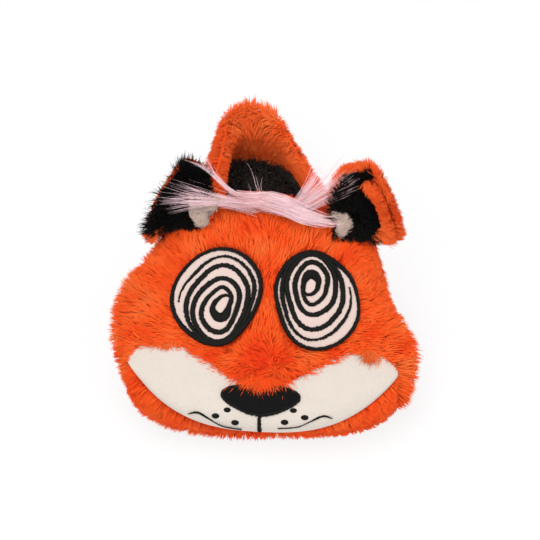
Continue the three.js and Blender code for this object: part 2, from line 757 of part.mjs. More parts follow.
function eyePatch(name, side) {
  const place = (u, v, high) => {
    const spot = eyeSpot(name, side, -u, v);
    const edge = 1 - 0.6 * v ** 4;
    return facePoint(spot.x, spot.y, GAP + (high ? EYE_PATCH_THICKNESS * edge : 0));
  };
  return layer(place, 32, 3, true);
}

function eyeOutline(name, side) {
  const inner = 1 - EYE_OUTLINE_WIDTH / EYE_REACH;
  const low = EYE_PATCH_THICKNESS + 2 * GAP;
  const place = (u, v, high) => {
    const spot = eyeSpot(name, side, -u, THREE.MathUtils.lerp(inner, 1, v));
    return facePoint(spot.x, spot.y, low + (high ? STITCH_THICKNESS : 0));
  };
  return layer(place, 32, 1, true);
}

// The spiral runs clockwise inwards
function eyeSpiral(name, side) {
  const curveAt = (u) =>
    eyeSpot(name, side, SPIRAL_TURNS * u, THREE.MathUtils.lerp(SPIRAL_OUTER, SPIRAL_INNER, u));
  const halfWidthAt = (u) => (SPIRAL_WIDTH / 2) * Math.min(1, 0.25 + 6 * u, 0.5 + 6 * (1 - u));
  const low = EYE_PATCH_THICKNESS + 2 * GAP;
  const steps = Math.round(SPIRAL_TURNS * SPIRAL_STEPS);
  return stitchedLine(curveAt, halfWidthAt, steps, low, STITCH_THICKNESS);
}

// The nose, a padded lens: flat along the top, drawn to a blunt tip below
function nosePad() {
  const middle = THREE.MathUtils.lerp(NOSE_TIP_UP, NOSE_TOP_UP, 0.62);
  const place = (u, v, high) => {
    const angle = u * Math.PI * 2;
    const sine = Math.sin(angle);
    const above = sine > 0;
    const across = Math.cos(angle) * (above ? 1 : 1 - 0.3 * Math.abs(sine) ** 1.5) * (NOSE_WIDTH / 2);
    const reach = above ? NOSE_TOP_UP - middle : middle - NOSE_TIP_UP;
    const up = middle + reach * Math.sign(sine) * Math.abs(sine) ** (above ? 0.8 : 1.1) * v;
    const puff = NOSE_THICKNESS * (1 - 0.75 * v ** 3);
    return facePoint(across * v, up, GAP + (high ? puff : 0));
  };
  return layer(place, 24, 3, true);
}

function whiskerDot(side, [across, up]) {
  const place = (u, v, high) => {
    const angle = u * Math.PI * 2;
    const x = side * across + Math.cos(angle) * (DOT_WIDTH / 2) * v;
    const y = up + Math.sin(angle) * (DOT_HEIGHT / 2) * v;
    return facePoint(x, y, GAP + (high ? STITCH_THICKNESS : 0));
  };
  return layer(place, 10, 1, true);
}

// Forelock: a raised strip over the throat seam, and a lock that sweeps out to each side
function forelockStrip() {
  const end = sweepAngle(FORELOCK_HALF_LENGTH);
  const halfT = FORELOCK_WIDTH / 2 / headProfile.getLength();
  const place = (u, v, high) => {
    const angle = THREE.MathUtils.lerp(-end, end, u);
    const t = THREE.MathUtils.lerp(FORELOCK_T - halfT, FORELOCK_T + halfT, v);
    const crest = FORELOCK_HEIGHT * (0.2 + 0.8 * Math.sin(Math.PI * v));
    return headPoint(angle, t, GAP + (high ? crest : 0));
  };
  return layer(place, 14, 5);
}

function forelockLock(side) {
  const halfT = FORELOCK_WIDTH / 2 / headProfile.getLength();
  const place = (u, v, high) => {
    const across = FORELOCK_HALF_LENGTH + GAP * 2 + LOCK_LENGTH * u;
    const ahead = EAR_SEAM_T - LOCK_AHEAD / headProfile.getLength();
    const middle = THREE.MathUtils.lerp(FORELOCK_T, ahead, THREE.MathUtils.smoothstep(u, 0, 0.55));
    const spread = halfT * (1 - 0.55 * u);
    const t = middle + THREE.MathUtils.lerp(-spread, spread, v);
    const crest = LOCK_HEIGHT * (1 - 0.65 * u) * (0.2 + 0.8 * Math.sin(Math.PI * v));
    return headPoint(side * sweepAngle(across), t, LOCK_GAP + (high ? crest : 0));
  };
  return layer(place, 9, 4);
}

// Squeaker: a ribbed vinyl bellows with a reed in its neck
function squeakerBulb() {
  const r = SQUEAKER_RADIUS;
  const h = SQUEAKER_HEIGHT;
  const bore = REED_RADIUS + GAP;
  const profile = [
    [bore, 0],
    [r * 0.75, 0],
    [r * 0.96, h * 0.1],
    [r, h * 0.24],
    [r * 0.86, h * 0.34],
    [r, h * 0.44],
    [r * 0.86, h * 0.54],
    [r, h * 0.64],
    [r * 0.8, h * 0.84],
    [r * 0.4, h * 0.97],
    [0, h],
    [0, REED_HEIGHT + GAP],
    [bore, REED_HEIGHT + GAP],
    [bore, 0],
  ];
  const geometry = new THREE.LatheGeometry(profile.map(([a, b]) => new THREE.Vector2(a, b)), 20);
  geometry.rotateX(Math.PI / 2);
  geometry.translate(0, SQUEAKER_BACK - LENGTH / 2, SQUEAKER_BASE);
  return closedBody(trianglesOf(geometry));
}

function squeakerReed() {
  const geometry = new THREE.CylinderGeometry(REED_RADIUS, REED_RADIUS, REED_HEIGHT - GAP, 16);
  geometry.rotateX(Math.PI / 2);
  geometry.translate(0, SQUEAKER_BACK - LENGTH / 2, SQUEAKER_BASE + REED_HEIGHT / 2);
  return geometry;
}

function squeakerCavity() {
  const r = SQUEAKER_RADIUS + GAP;
  const h = SQUEAKER_HEIGHT + 2 * GAP;
  const geometry = new THREE.CylinderGeometry(r, r, h, 20);
  geometry.rotateX(Math.PI / 2);
  geometry.translate(0, SQUEAKER_BACK - LENGTH / 2, SQUEAKER_BASE + SQUEAKER_HEIGHT / 2);
  return geometry;
}

function trianglesOf(geometry) {
  const flat = geometry.index ? geometry.toNonIndexed() : geometry;
  const at = flat.attributes.position;
  const triangles = [];
  for (let i = 0; i < at.count; i += 3) {
    triangles.push([0, 1, 2].map((k) => new THREE.Vector3().fromBufferAttribute(at, i + k).toArray()));
  }
  return triangles;
}

// A box that covers one side of the centre plane, short of it by half a gap
function sideBox(side) {
  const reach = HEAD_HALF_WIDTH + CUT_MARGIN;
  const geometry = new THREE.BoxGeometry(reach, LENGTH * 2, CROWN_HEIGHT * 3);
  geometry.translate(side * (reach / 2 + GAP / 2), 0, 0);
  return geometry;
}

// Assembly
const assembly = new THREE.Group();

function add(name, geometry, material) {
  const mesh = new THREE.Mesh(geometry, material);
  mesh.name = name;
  geometry.computeVertexNormals();
  assembly.add(mesh);
}

const SIDES = [['left', -1], ['right', 1]];
const MIDSOLE_TOP = OUTSOLE_THICKNESS + MIDSOLE_THICKNESS;

// Sole
const soleOutline = footOutline(soleHalves, 18);
add('outsole', slab(soleOutline, 0, OUTSOLE_THICKNESS - GAP), materials.canvas);
add('midsole_foam', slab(soleOutline, OUTSOLE_THICKNESS, MIDSOLE_TOP), materials.foam);
const toeStart = POCKET_TOE_BACK + LINING_THICKNESS + 4;
const insoleHalves = [
  [0, toeStart],
  [FOOT_HALF_WIDTH * 0.5, toeStart + 6],
  [FOOT_HALF_WIDTH * 0.86, POCKET_FULL_BACK - 14],
  [FOOT_HALF_WIDTH, POCKET_FULL_BACK + 14],
  ...wallInner.points.slice(1).map((spot) => [spot.x, spot.y]),
];
const insoleOutline = footOutline(insoleHalves, 24, -INSOLE_MARGIN);
add(
  'insole_pad',
  slab(insoleOutline, MIDSOLE_TOP + GAP, MIDSOLE_TOP + GAP + INSOLE_THICKNESS),
  materials.charcoalPlush,
);

// Cutting tools for the pieces round the sole and the foot
const soleTool = slab(footOutline(soleHalves, 18, GAP), -CUT_MARGIN, MIDSOLE_TOP + GAP);
const pocketTool = pocketForm(GAP, CUT_MARGIN);
const headTool = headForm(FACET_GAP, wholeAngles);

// Toe pocket lining, a thin sock open at the mouth
const mouthBlock = new THREE.BoxGeometry(LENGTH, LENGTH, LENGTH);
mouthBlock.translate(0, THROAT_BACK - 6, 0);
add('toe_lining',
  cut(pocketForm(0, 0), pocketForm(-LINING_THICKNESS, CUT_MARGIN), mouthBlock),
  materials.lining);

// Head panels
const faceEdge = GAP / 2 / HEAD_HALF_WIDTH;
const startSeam = () => 0;
const endSeam = () => 1;
const lowSeam = (angle) => seamT(angle, lowerSeamUp);
const highSeam = (angle) => seamT(angle, upperSeamUp);
const crownSeam = () => FORELOCK_T;
add('chin_band', cut(headPanel(bothSides(panelHalf), [startSeam, lowSeam], 4), soleTool),
  materials.orangeFur);
add('muzzle_panel', headPanel(bothSides(muzzleHalf), [lowSeam, highSeam], 5),
  materials.whitePlush);
for (const [name, side] of SIDES) {
  const half = [faceEdge, ...panelHalf, SIDE_ANGLE];
  const angles = side > 0 ? half : half.map((angle) => -angle).reverse();
  add(`face_${name}`, headPanel(angles, [highSeam, crownSeam], 8), materials.orangeFur);
}
add('throat_panel',
  cut(headPanel(bothSides(panelHalf), [crownSeam, endSeam], 5), pocketTool, soleTool),
  materials.orangeFur);
const undersideAngles = bothSides(panelHalf);
const undersideLayer = layer(
  (u, v, side) => undersidePoint(undersideAngles[Math.round(u * (undersideAngles.length - 1))],
    THREE.MathUtils.lerp(0.004, 0.996, v), side ? 0 : -FUR_THICKNESS),
  undersideAngles.length - 1, 3,
);
add('underside_panel', cut(undersideLayer, soleTool, pocketTool), materials.orangeFur);

// Head stuffing in two halves round the toe pocket and the squeaker
const stuffing = cut(
  headForm(-FUR_THICKNESS - STUFFING_GAP, wholeAngles),
  pocketTool,
  soleTool,
  squeakerCavity(),
);
for (const [name, side] of SIDES) {
  add(`head_stuffing_${name}`, keepWithin(stuffing, sideBox(side)), materials.fibre);
}
add('squeaker_bulb', squeakerBulb(), materials.vinyl);
add('squeaker_reed', squeakerReed(), materials.vinyl);

// Eyes
for (const [name, side] of SIDES) {
  add(`eye_patch_${name}`, eyePatch(name, side), materials.eyePlush);
  add(`eye_outline_${name}`, eyeOutline(name, side), materials.blackThread);
  add(`eye_spiral_${name}`, eyeSpiral(name, side), materials.blackThread);
}

// Nose, mouth and whisker dots
add('nose', nosePad(), materials.blackFelt);
const centreLine = (u) => new THREE.Vector2(0,
  THREE.MathUtils.lerp(NOSE_TIP_UP - 1, MUZZLE_SEAM_UP + 1.5, u));
add('centre_line', stitchedLine(centreLine, () => LINE_WIDTH / 2, 5, GAP, STITCH_THICKNESS),
  materials.blackThread);
for (const [name, side] of SIDES) {
  const mouth = curveThrough(MOUTH_LINE.map(([x, up]) => [side * x, up]));
  const taper = (u) => (LINE_WIDTH / 2) * (0.35 + 0.65 * Math.sin(Math.PI * u));
  add(`mouth_line_${name}`, stitchedLine((u) => mouth.getPoint(u), taper, 12, GAP, STITCH_THICKNESS),
    materials.blackThread);
  DOTS.forEach((dot, i) => {
    add(`whisker_dot_${name}_${i + 1}`, whiskerDot(side, dot), materials.blackThread);
  });
}

// Heel wall
const wallBottom = MIDSOLE_TOP + 2 * GAP;
for (const [name, side] of SIDES) {
  add(`heel_outer_${name}`,
    cut(wallFur([side, side * WALL_SEAM], [0, 1 - CREST_SEAM], WALL_OUTER_FUR, HEAD_FLOOR, [14, 6]),
      headTool, soleTool),
    materials.orangeFur);
  add(`heel_lining_${name}`,
    cut(wallFur([side, side * WALL_SEAM], [2, 1 + CREST_SEAM], WALL_INNER_FUR, wallBottom, [14, 6]),
      headTool),
    materials.orangeFur);
}
add('heel_foam', cut(wallFoam(wallBottom, [28, 12]), headTool), materials.foam);

// Ears: the areas of their layers
const earWhole = { outline: leaf, inner: -1, outer: 1, low: 0, high: 1 };
const earFront = { outline: leaf, inner: -0.96, outer: 0.78, low: 0, high: 0.93 };
const earRoot = { outline: triangle, inner: -0.85, outer: 0.15, low: 0.03, high: 0.46 };
const earCore = { outline: leaf, inner: -0.9, outer: 0.7, low: 0.01, high: 0.86 };

// Heights of the layers over the ear's middle sheet, back to front: a part that holds everywhere, and
// a part that thins out towards the edge
const coreFull = EAR_WADDING * EAR_CORE_FULLNESS;
const frontFull = coreFull + EAR_FRONT_FUR;
const backLow = [-EAR_WADDING / 2, -EAR_BACK_FUR];
const backHigh = [backLow[0] + EAR_BACK_EDGE, 0];
const coreLow = [backHigh[0] + GAP, 0];
const coreHigh = [coreLow[0] + EAR_CORE_EDGE, coreFull];
const frontLow = [coreHigh[0] + GAP + EAR_FRONT_SLACK, coreFull];
const frontHigh = [frontLow[0] + EAR_FRONT_EDGE, frontFull];
const rootLow = [frontHigh[0] + GAP, frontFull];
const rootHigh = [rootLow[0] + EAR_FRONT_EDGE, frontFull + EAR_PATCH_THICKNESS];

for (const [name, side] of SIDES) {
  add(`ear_back_${name}`, earLayer(name, side, earWhole, backLow, backHigh, [10, 8]),
    materials.orangeFur);
  add(`ear_wadding_${name}`, earLayer(name, side, earCore, coreLow, coreHigh, [6, 5]),
    materials.fibre);
  add(`ear_front_${name}`, earLayer(name, side, earFront, frontLow, frontHigh, [9, 7]),
    materials.blackFur);
  add(`ear_patch_${name}`, earLayer(name, side, earRoot, rootLow, rootHigh, [6, 5]),
    materials.creamPlush);
  const halfTape = EAR_TAPE_WIDTH / 2 / headProfile.getLength();
  const tape = (u, v, high) => headPoint(
    side * sweepAngle(THREE.MathUtils.lerp(EAR_BASE_INNER, EAR_BASE_OUTER, u)),
    EAR_SEAM_T + THREE.MathUtils.lerp(-halfTape, halfTape, v),
    GAP + (high ? EAR_TAPE_THICKNESS : 0),
  );
  add(`ear_seam_${name}`, layer(tape, 10, 2), materials.tape);
}

// Forelock
add('forelock_strip', forelockStrip(), materials.pinkHair);
for (const [name, side] of SIDES) {
  add(`forelock_lock_${name}`, forelockLock(side), materials.pinkHair);
}

export default assembly;
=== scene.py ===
"""The looks of a plush fox toy: pile on every skin, stitched eyes, a padded muzzle and long hair.

Forms are worked out in millimetres, in the model's own frame: x across, y towards the heel, z up.
"""

import math

import bmesh
import bpy
import numpy as np
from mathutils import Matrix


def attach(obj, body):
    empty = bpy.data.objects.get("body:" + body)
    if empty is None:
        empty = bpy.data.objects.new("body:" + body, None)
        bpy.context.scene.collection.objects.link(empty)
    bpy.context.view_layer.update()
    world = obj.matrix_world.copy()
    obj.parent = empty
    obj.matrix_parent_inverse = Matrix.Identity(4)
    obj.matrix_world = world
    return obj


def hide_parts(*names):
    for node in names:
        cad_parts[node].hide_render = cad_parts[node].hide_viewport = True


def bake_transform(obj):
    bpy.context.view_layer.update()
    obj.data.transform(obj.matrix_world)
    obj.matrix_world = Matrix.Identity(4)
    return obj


bl_info = {
    "name": "Plush fox toy",
    "version": (1, 0, 0),
    "blender": (4, 5, 0),
    "location": "View3D > Sidebar > Plush fox",
    "description": "Dresses a plush fox toy in fur, plush, felt and embroidery",
    "category": "Add Mesh",
}

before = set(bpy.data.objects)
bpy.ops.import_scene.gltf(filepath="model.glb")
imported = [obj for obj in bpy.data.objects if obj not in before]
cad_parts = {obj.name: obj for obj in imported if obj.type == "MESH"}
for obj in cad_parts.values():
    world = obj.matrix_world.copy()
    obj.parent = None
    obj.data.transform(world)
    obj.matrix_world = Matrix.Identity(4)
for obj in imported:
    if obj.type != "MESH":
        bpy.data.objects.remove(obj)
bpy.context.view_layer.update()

MM = 0.001
SIDES = (("left", -1), ("right", 1))
BODY = "slipper"

# Sizes of the solids, in mm
LENGTH = 275
HEAD_HALF_WIDTH = 105
HEAD_FLOOR = 3
CHEEK_BACK = 58
CHEEK_HEIGHT = 50
PLAN_POWER = 3
CROWN_POWER = 1.85
UNDER_POWER = 4
THROAT_BACK = 152
PATTERN_TILT = math.radians(40)
MUZZLE_TIP_ACROSS = 96
MUZZLE_TIP_UP = 61.5
MUZZLE_SEAM_UP = 15.2
MUZZLE_SEAM_POWER = 2.6
NOSE_TOP_UP = 49
NOSE_TIP_UP = 29.2
HEEL_SWING = 27
WALL_BOTTOM = 14.6
WALL_TOP_RADIUS = 9
WALL_BULGE = 3
INSOLE_BASE = 14.3
EAR_BASE = (40, 91)
EAR_HEIGHT = 54
EAR_SEAT = 1.7
EAR_CUP = 9
EAR_LEAN = {"left": -8, "right": 0}
EAR_LEAN_BACK = 20
PROFILE_LENGTH = 560

# Cloth, pile and thread, in mm
SKIN = 2.5  # thickness of the cloth
UNDER_DEPTH = 4.0  # how deep the roots lie under the chin
FLOOR_GAP = 0.6  # hair stays this far above the floor
HEAD_MARGIN = 3  # the heel wall's pile starts this far inside the head
WALL_ROUND = 0.7  # share of the way up where the heel wall's top starts to round
STITCH_PITCH, STITCH_RIDGE = 0.75, 0.16
WELD = 1e-6  # corners nearer than this, in m, are one
SHADES = 32  # shades of a pile, each a column of its hairs' map
UP_FRONT = np.array([0, -0.6, 0.8])

# How the toy lies in the photograph, in mm and as shares
SIDE_PRESS = 15
LEFT_PRESS = 10
CHEEK_SWELL = 3.5
CHIN_PRESS = 3
EAR_CORE = 0.84
EAR_APRON = {"left": 17, "right": 22}
EAR_TUCK = {"left": 0.17, "right": 0.55}
EAR_DARK = {"left": (0.5, 1.0), "right": (0.58, 0.66)}
EAR_INNER = -0.97  # where the black front starts across an ear
EAR_ROOT = {
    "left": ((-0.98, -0.72), (-1.3, -0.42)),
    "right": ((-0.84, -0.7), (-1.1, -0.64)),
}
ROOT_RISE = {"left": (-0.85, 0.3), "right": (-0.85, 0.08)}
RIM_TURN = 1.77
MOUTH_SHIFT = {"left": (0.8, 1.2), "right": (2.6, -0.6)}
POCKET = {"toe": 50, "full": 96, "mouth": 146, "half": 40, "low": 38, "high": 46}

HEAD_PROFILE = [
    (14, 3), (6, 9), (5.5, 15.2), (2.4, 20.9), (0, 29), (4.42, 38), (17, 47), (37.13, 56.4),
    (62, 70.5), (98, 92.5), (117.16, 105.82), (134, 111), (147, 105.333), (152, 94),
    (152, 56.4), (150, 23.5), (147, 3),
]
WALL_OUTER = [
    (91.35, 118), (79.8, 142), (66, 168), (56, 196), (50, 226), (40, 253), (24.08, 269.5),
    (0, 275),
]
WALL_INNER = [
    (38, 118), (38, 142), (38, 168), (37, 194), (34, 224), (26, 245), (13.68, 255), (0, 258),
]
COLLAR = [(118, 64), (175, 60), (207, 63), (231, 67), (250, 76), (267, 81), (275, 82)]
LEAN = [(118, 0), (168, 5), (205, 8), (230, 12), (253, 13), (275, 4)]
UPPER_SEAM = [
    (0, 47), (19.2, 51), (45.12, 65.5), (66.24, 73), (81.6, 72), (92.16, 66.5), (96, 63),
]
INSOLE_EDGE = [
    (0, 56), (19, 62), (32.7, 82), (38, 110), (38, 142), (38, 168), (37, 194), (34, 224),
    (26, 245), (13.68, 255), (0, 258),
]

# Tufts that hang over the nose and the muzzle: where they are rooted on the pattern, how wide and
# tall, how many, how long and which way
TUFTS = (
    (0.0, 53.0, 14.0, 3.0, 1300, 15.5, (0.0, -1.0)),
    (76.0, 75.0, 5.0, 3.0, 260, 14.0, (-0.35, -1.0)),
    (-72.0, 75.0, 9.0, 2.5, 260, 10.0, (0.3, -1.0)),
)
# The right half of the mouth and of its dots, as (across, up) on the pattern
MOUTH = [(49.5, 27), (43, 28.2), (35, 24.5), (26, 20.4), (13, 18.9)]
WHISKER_DOTS = ((23, 31), (30.8, 26.8), (17.5, 23.2))

# Eyes on the pattern: the core, the way to the spiral's tail, and 8 radii clockwise from there
EYE_CORE = {"left": (-29.6, 103.1), "right": (30.0, 119.3)}
EYE_START = {"left": math.pi, "right": 0.0}
EYE_RADII = {
    "left": (35.6, 37.2, 39.5, 33.2, 23.4, 21.7, 27.4, 30.4),
    "right": (31.0, 42.6, 44.0, 28.6, 23.6, 22.2, 23.2, 23.8),
}
OUTLINE_WIDTHS = (2.6, 2.3, 2.6, 3.2, 2.8, 3.4, 3.8, 3.4)
# The spiral, from its tail, at each eighth of a turn: the share of the radius and the width
SPIRAL = (
    (0.85, 0.4), (0.78, 1.6), (0.85, 1.5), (0.83, 2.4), (0.82, 2.4), (0.92, 2.6),
    (0.99, 2.6), (0.87, 2.4), (0.7, 2.3), (0.63, 2.2), (0.69, 2.0), (0.655, 2.3),
    (0.7, 2.8), (0.8, 3.3), (0.94, 3.0), (0.77, 2.4), (0.55, 2.3), (0.455, 2.3),
    (0.46, 2.0), (0.445, 2.3), (0.455, 2.3), (0.535, 2.4), (0.7, 2.6), (0.58, 2.5),
    (0.355, 2.2), (0.28, 1.8), (0.3, 1.7), (0.24, 2.0), (0.21, 2.6), (0.255, 4.6),
    (0.335, 6.0), (0.27, 4.6), (0.165, 2.6), (0.125, 1.8), (0.15, 1.4), (0.22, 1.0),
)


# Small maths on whole arrays

def unit(vectors):
    """Each vector divided by its own length."""
    return vectors / np.maximum(np.linalg.norm(vectors, axis=-1, keepdims=True), 1e-9)


def mix(a, b, share):
    return a + (b - a) * share


def ease(x, low, high):
    """0 below low, 1 above high, and 3s^2 - 2s^3 between them."""
    s = np.clip((x - low) / (high - low), 0, 1)
    return s * s * (3 - 2 * s)


def bell(x, middle, width):
    """1 at the middle, and exp(-1) one width away from it on either side."""
    return np.exp(-(((x - middle) / width) ** 2))


def columns(*parts):
    """Arrays and numbers as the columns of one array of points or ways."""
    return np.stack(np.broadcast_arrays(*parts), -1)


def spline(points):
    """A smooth curve through the points: each span is the cubic whose end slopes are half the step
    between the neighbours on either side."""
    points = np.array(points, float)
    last = len(points) - 1

    def at(t):
        t = np.clip(np.asarray(t, float), 0, 1) * last
        i = np.minimum(t.astype(int), last - 1)
        w = (t - i)[..., None]
        before, a = points[np.maximum(i - 1, 0)], points[i]
        b, after = points[i + 1], points[np.minimum(i + 2, last)]
        leave, arrive = (b - before) / 2, (after - a) / 2
        cubic = 2 * a - 2 * b + leave + arrive
        square = 3 * b - 3 * a - 2 * leave - arrive
        return cubic * w**3 + square * w**2 + leave * w + a

    return at


def stations(table, at):
    """A smooth curve through (position, value) pairs that never overshoots: the slope at a pair is
    the harmonic mean of the slopes beside it, or 0 at a turn."""
    x, y = np.array(table, float).T
    slope = np.diff(y) / np.diff(x)
    bend = np.zeros(len(x))
    product, total = slope[:-1] * slope[1:], slope[:-1] + slope[1:]
    bend[1:-1] = np.where(product > 0, 2 * product / np.where(product > 0, total, 1), 0)
    at = np.clip(at, x[0], x[-1])
    i = np.clip(np.searchsorted(x, at, side="right") - 1, 0, len(x) - 2)
    span = x[i + 1] - x[i]
    s = (at - x[i]) / span
    keep = 1 + s * s * (2 * s - 3)
    ends = s * (1 + s * (s - 2)) * bend[i] + s * s * (s - 1) * bend[i + 1]
    return y[i] * keep + y[i + 1] * (1 - keep) + ends * span


def solve(value_at, target, low, high):
    """Where a rising function reaches the target, by halving the span 30 times."""
    a = np.full(np.shape(target), float(low))
    b = np.full(np.shape(target), float(high))
    for _ in range(30):
        middle = (a + b) / 2
        below = value_at(middle) < target
        a, b = np.where(below, middle, a), np.where(below, b, middle)
    return (a + b) / 2


def ripple(points, size, seed):
    """Smooth noise from -1 to 1: the mean of 8 random sine waves, about `size` long."""
    rng = np.random.default_rng(seed)
    waves = unit(rng.normal(size=(8, 3))) * (2 * math.pi / size) * rng.uniform(0.6, 1.5, (8, 1))
    return np.sin(points @ waves.T + rng.uniform(0, 2 * math.pi, 8)).mean(-1) * 1.9


# Forms of the toy

head_profile = spline(HEAD_PROFILE)


def profile_at(t, out):
    """The side profile at t, moved out along its normal: (distance back, height)."""
    step = 1e-4
    middle = head_profile(t)
    along = unit(head_profile(np.minimum(t + step, 1)) - head_profile(np.maximum(t - step, 0)))
    floor = np.maximum(middle[..., 1] + along[..., 0] * out, HEAD_FLOOR - out)
    return middle[..., 0] - along[..., 1] * out, floor


def squeezes(angle, up):
    """How far a sweep angle reaches across, and what it leaves of depth and of height."""
    sine, cosine = np.abs(np.sin(angle)), np.abs(np.cos(angle))
    radius = (sine**PLAN_POWER + cosine**PLAN_POWER) ** (-1 / PLAN_POWER)
    share = np.minimum(sine * radius, 1)
    power = np.where(up > CHEEK_HEIGHT, CROWN_POWER, UNDER_POWER)
    return share, cosine * radius, (1 - share**power) ** (1 / power)


def head_at(angle, t, out):
    """The head: its side profile swept from cheek to cheek, shrinking about the cheeks' centre."""
    back, up = profile_at(t, out)
    share, depth, height = squeezes(angle, up)
    return columns(
        np.sign(angle) * share * (HEAD_HALF_WIDTH + out),
        CHEEK_BACK + (back - CHEEK_BACK) * depth - LENGTH / 2,
        CHEEK_HEIGHT + (up - CHEEK_HEIGHT) * height,
    )


def sweep_angle(across):
    share = np.clip(np.abs(across) / HEAD_HALF_WIDTH, 1e-6, 1 - 1e-9)
    return np.sign(across) * np.arctan2(1, (share**-PLAN_POWER - 1) ** (1 / PLAN_POWER))


def settled(spots):
    """Lays the toy down as photographed: its sides are pressed in behind the cheeks, the right one
    more, and its left cheek swells over a pressed chin."""
    across, back, up = spots[..., 0], spots[..., 1] + LENGTH / 2, spots[..., 2]
    behind = 1 - ease(back, 150, 200)
    pressed = SIDE_PRESS * ease(across, 60, 97) * ease(back, 58, 100) * behind
    pressed -= LEFT_PRESS * ease(-across, 55, 95) * ease(back, 85, 118) * behind
    chin = (1 - ease(up, 30, 52)) * (1 - ease(back, 80, 120))
    pressed -= CHIN_PRESS * ease(-across, 70, 100) * chin
    swollen = CHEEK_SWELL * ease(-across, 60, 104) * bell(back, 70, 28) * ease(up, 38, 55)
    return spots - columns(pressed + swollen, 0, 0)


def pattern_up(spots):
    """How far points lie up the face's pattern, a plane tilted up from the floor."""
    back = spots[..., 1] + LENGTH / 2
    return back * math.cos(PATTERN_TILT) + spots[..., 2] * math.sin(PATTERN_TILT)


def profile_t(part, reach, low, high):
    """Where the profile reaches a distance back (part 0) or a height (part 1)."""
    return float(solve(lambda t: profile_at(t, 0)[part], np.float64(reach), low, high))


BAND_T = profile_t(1, 9, 0, 0.3)
CROWN_T = profile_t(0, 134, 0.3, 0.75)
FORELOCK_T = profile_t(0, 144, 0.3, 0.78)
EAR_SEAM_T = profile_t(0, 131, 0.3, 0.78)


def face_at(across, up, out):
    """A point of the face from its place on the pattern, `out` above the pile's mean height."""
    angle = sweep_angle(across)
    t = solve(lambda s: pattern_up(head_at(angle, s, 0)), up, BAND_T, CROWN_T)
    return settled(head_at(angle, t, out))


def lower_seam_up(across):
    share = np.minimum(np.abs(across) / MUZZLE_TIP_ACROSS, 1)
    return MUZZLE_SEAM_UP + (MUZZLE_TIP_UP - 1.5 - MUZZLE_SEAM_UP) * share**MUZZLE_SEAM_POWER


def upper_seam_up(across):
    return stations(UPPER_SEAM, np.abs(across))


def outside_head(spots):
    """True behind or below the head: the inverse of head_at, for points that aren't settled,
    compared with the back and the floor of the profile."""
    angle = sweep_angle(np.clip(spots[..., 0], -HEAD_HALF_WIDTH + 0.5, HEAD_HALF_WIDTH - 0.5))
    _, depth, height = squeezes(angle, spots[..., 2])
    back = CHEEK_BACK + (spots[..., 1] + LENGTH / 2 - CHEEK_BACK) / np.maximum(depth, 1e-3)
    up = CHEEK_HEIGHT + (spots[..., 2] - CHEEK_HEIGHT) / np.maximum(height, 1e-3)
    behind = (back > THROAT_BACK - HEAD_MARGIN) | (np.abs(spots[..., 0]) > HEAD_HALF_WIDTH)
    return behind | (up < HEAD_FLOOR + HEAD_MARGIN)


def swing(back):
    """How far the foot's centre line swings to one side on its way to the heel."""
    return -HEEL_SWING * (np.maximum(back - 130, 0) / 140) ** 1.85


outer_line, inner_line = spline(WALL_OUTER), spline(WALL_INNER)


def wall_raw(around, turn, inset):
    """The heel wall before it is laid down. `turn` runs from the outer foot (0) over the top (1) to
    the inner foot (2), and `around` from the left front (-1) past the heel (0) to the right front
    (1). The wall climbs straight, and its top is half an ellipse."""
    along = 1 - np.abs(around)
    outer, inner = outer_line(along), inner_line(along)
    width = np.linalg.norm(inner - outer, axis=-1)
    across = (inner - outer) / width[..., None]
    top, lean = stations(COLLAR, outer[..., 1]), stations(LEAN, outer[..., 1])
    shoulder = top - WALL_TOP_RADIUS
    outside = turn <= 1
    climb = np.where(outside, turn, 2 - turn)
    bottom = np.where(outside, HEAD_FLOOR, WALL_BOTTOM)
    up = mix(bottom, shoulder, np.minimum(climb / WALL_ROUND, 1))
    height = (up - HEAD_FLOOR) / (shoulder - HEAD_FLOOR)
    shift = lean * np.maximum(height, 0) ** 1.6
    swell = WALL_BULGE * np.sin(math.pi * np.minimum(height, 1) * 0.9)
    outer_at, inner_at = shift - swell, width + shift * 0.8
    straight = np.where(outside, outer_at + inset, inner_at - inset)
    arc = np.clip((climb - WALL_ROUND) / (1 - WALL_ROUND), 0, 1) * (math.pi / 2)
    reach = np.maximum((inner_at - outer_at) / 2 - inset, 0) * np.cos(arc)
    curved = (inner_at + outer_at) / 2 + np.where(outside, -reach, reach)
    over = climb > WALL_ROUND
    inward = np.where(over, curved, straight)
    crest = shoulder + (WALL_TOP_RADIUS - np.minimum(inset, WALL_TOP_RADIUS - 1)) * np.sin(arc)
    spot = outer + across * inward[..., None]
    side = np.where(around < 0, -1, 1)
    return columns(swing(spot[..., 1]) + side * spot[..., 0], spot[..., 1] - LENGTH / 2,
                   np.where(over, crest, up))


def wall_at(around, turn, inset):
    return settled(wall_raw(around, turn, inset))


ear_middle, ear_half = sum(EAR_BASE) / 2, (EAR_BASE[1] - EAR_BASE[0]) / 2


def ear_base(across):
    return head_at(sweep_angle(across), EAR_SEAM_T, EAR_SEAT)


ear_along = unit(ear_base(float(EAR_BASE[1])) - ear_base(float(EAR_BASE[0])))
ear_rise = {k: unit(np.array([v, EAR_LEAN_BACK, EAR_HEIGHT], float)) for k, v in EAR_LEAN.items()}
ear_face = {k: unit(np.cross(ear_along, v)) for k, v in ear_rise.items()}


def leaf(rise):
    """How wide an ear is at a share of its height."""
    return (1 - np.minimum(rise, 0.99) ** 3) ** 0.5


def ear_full(across, rise):
    """The ear's fullness, thin at its edge and at the seam it turns on."""
    edge = (1 - np.abs(across) ** 3) * (1 - rise**4)
    return 0.12 + 0.88 * np.maximum(edge, 0) ** 0.6 * ease(rise, -0.1, 0.3)


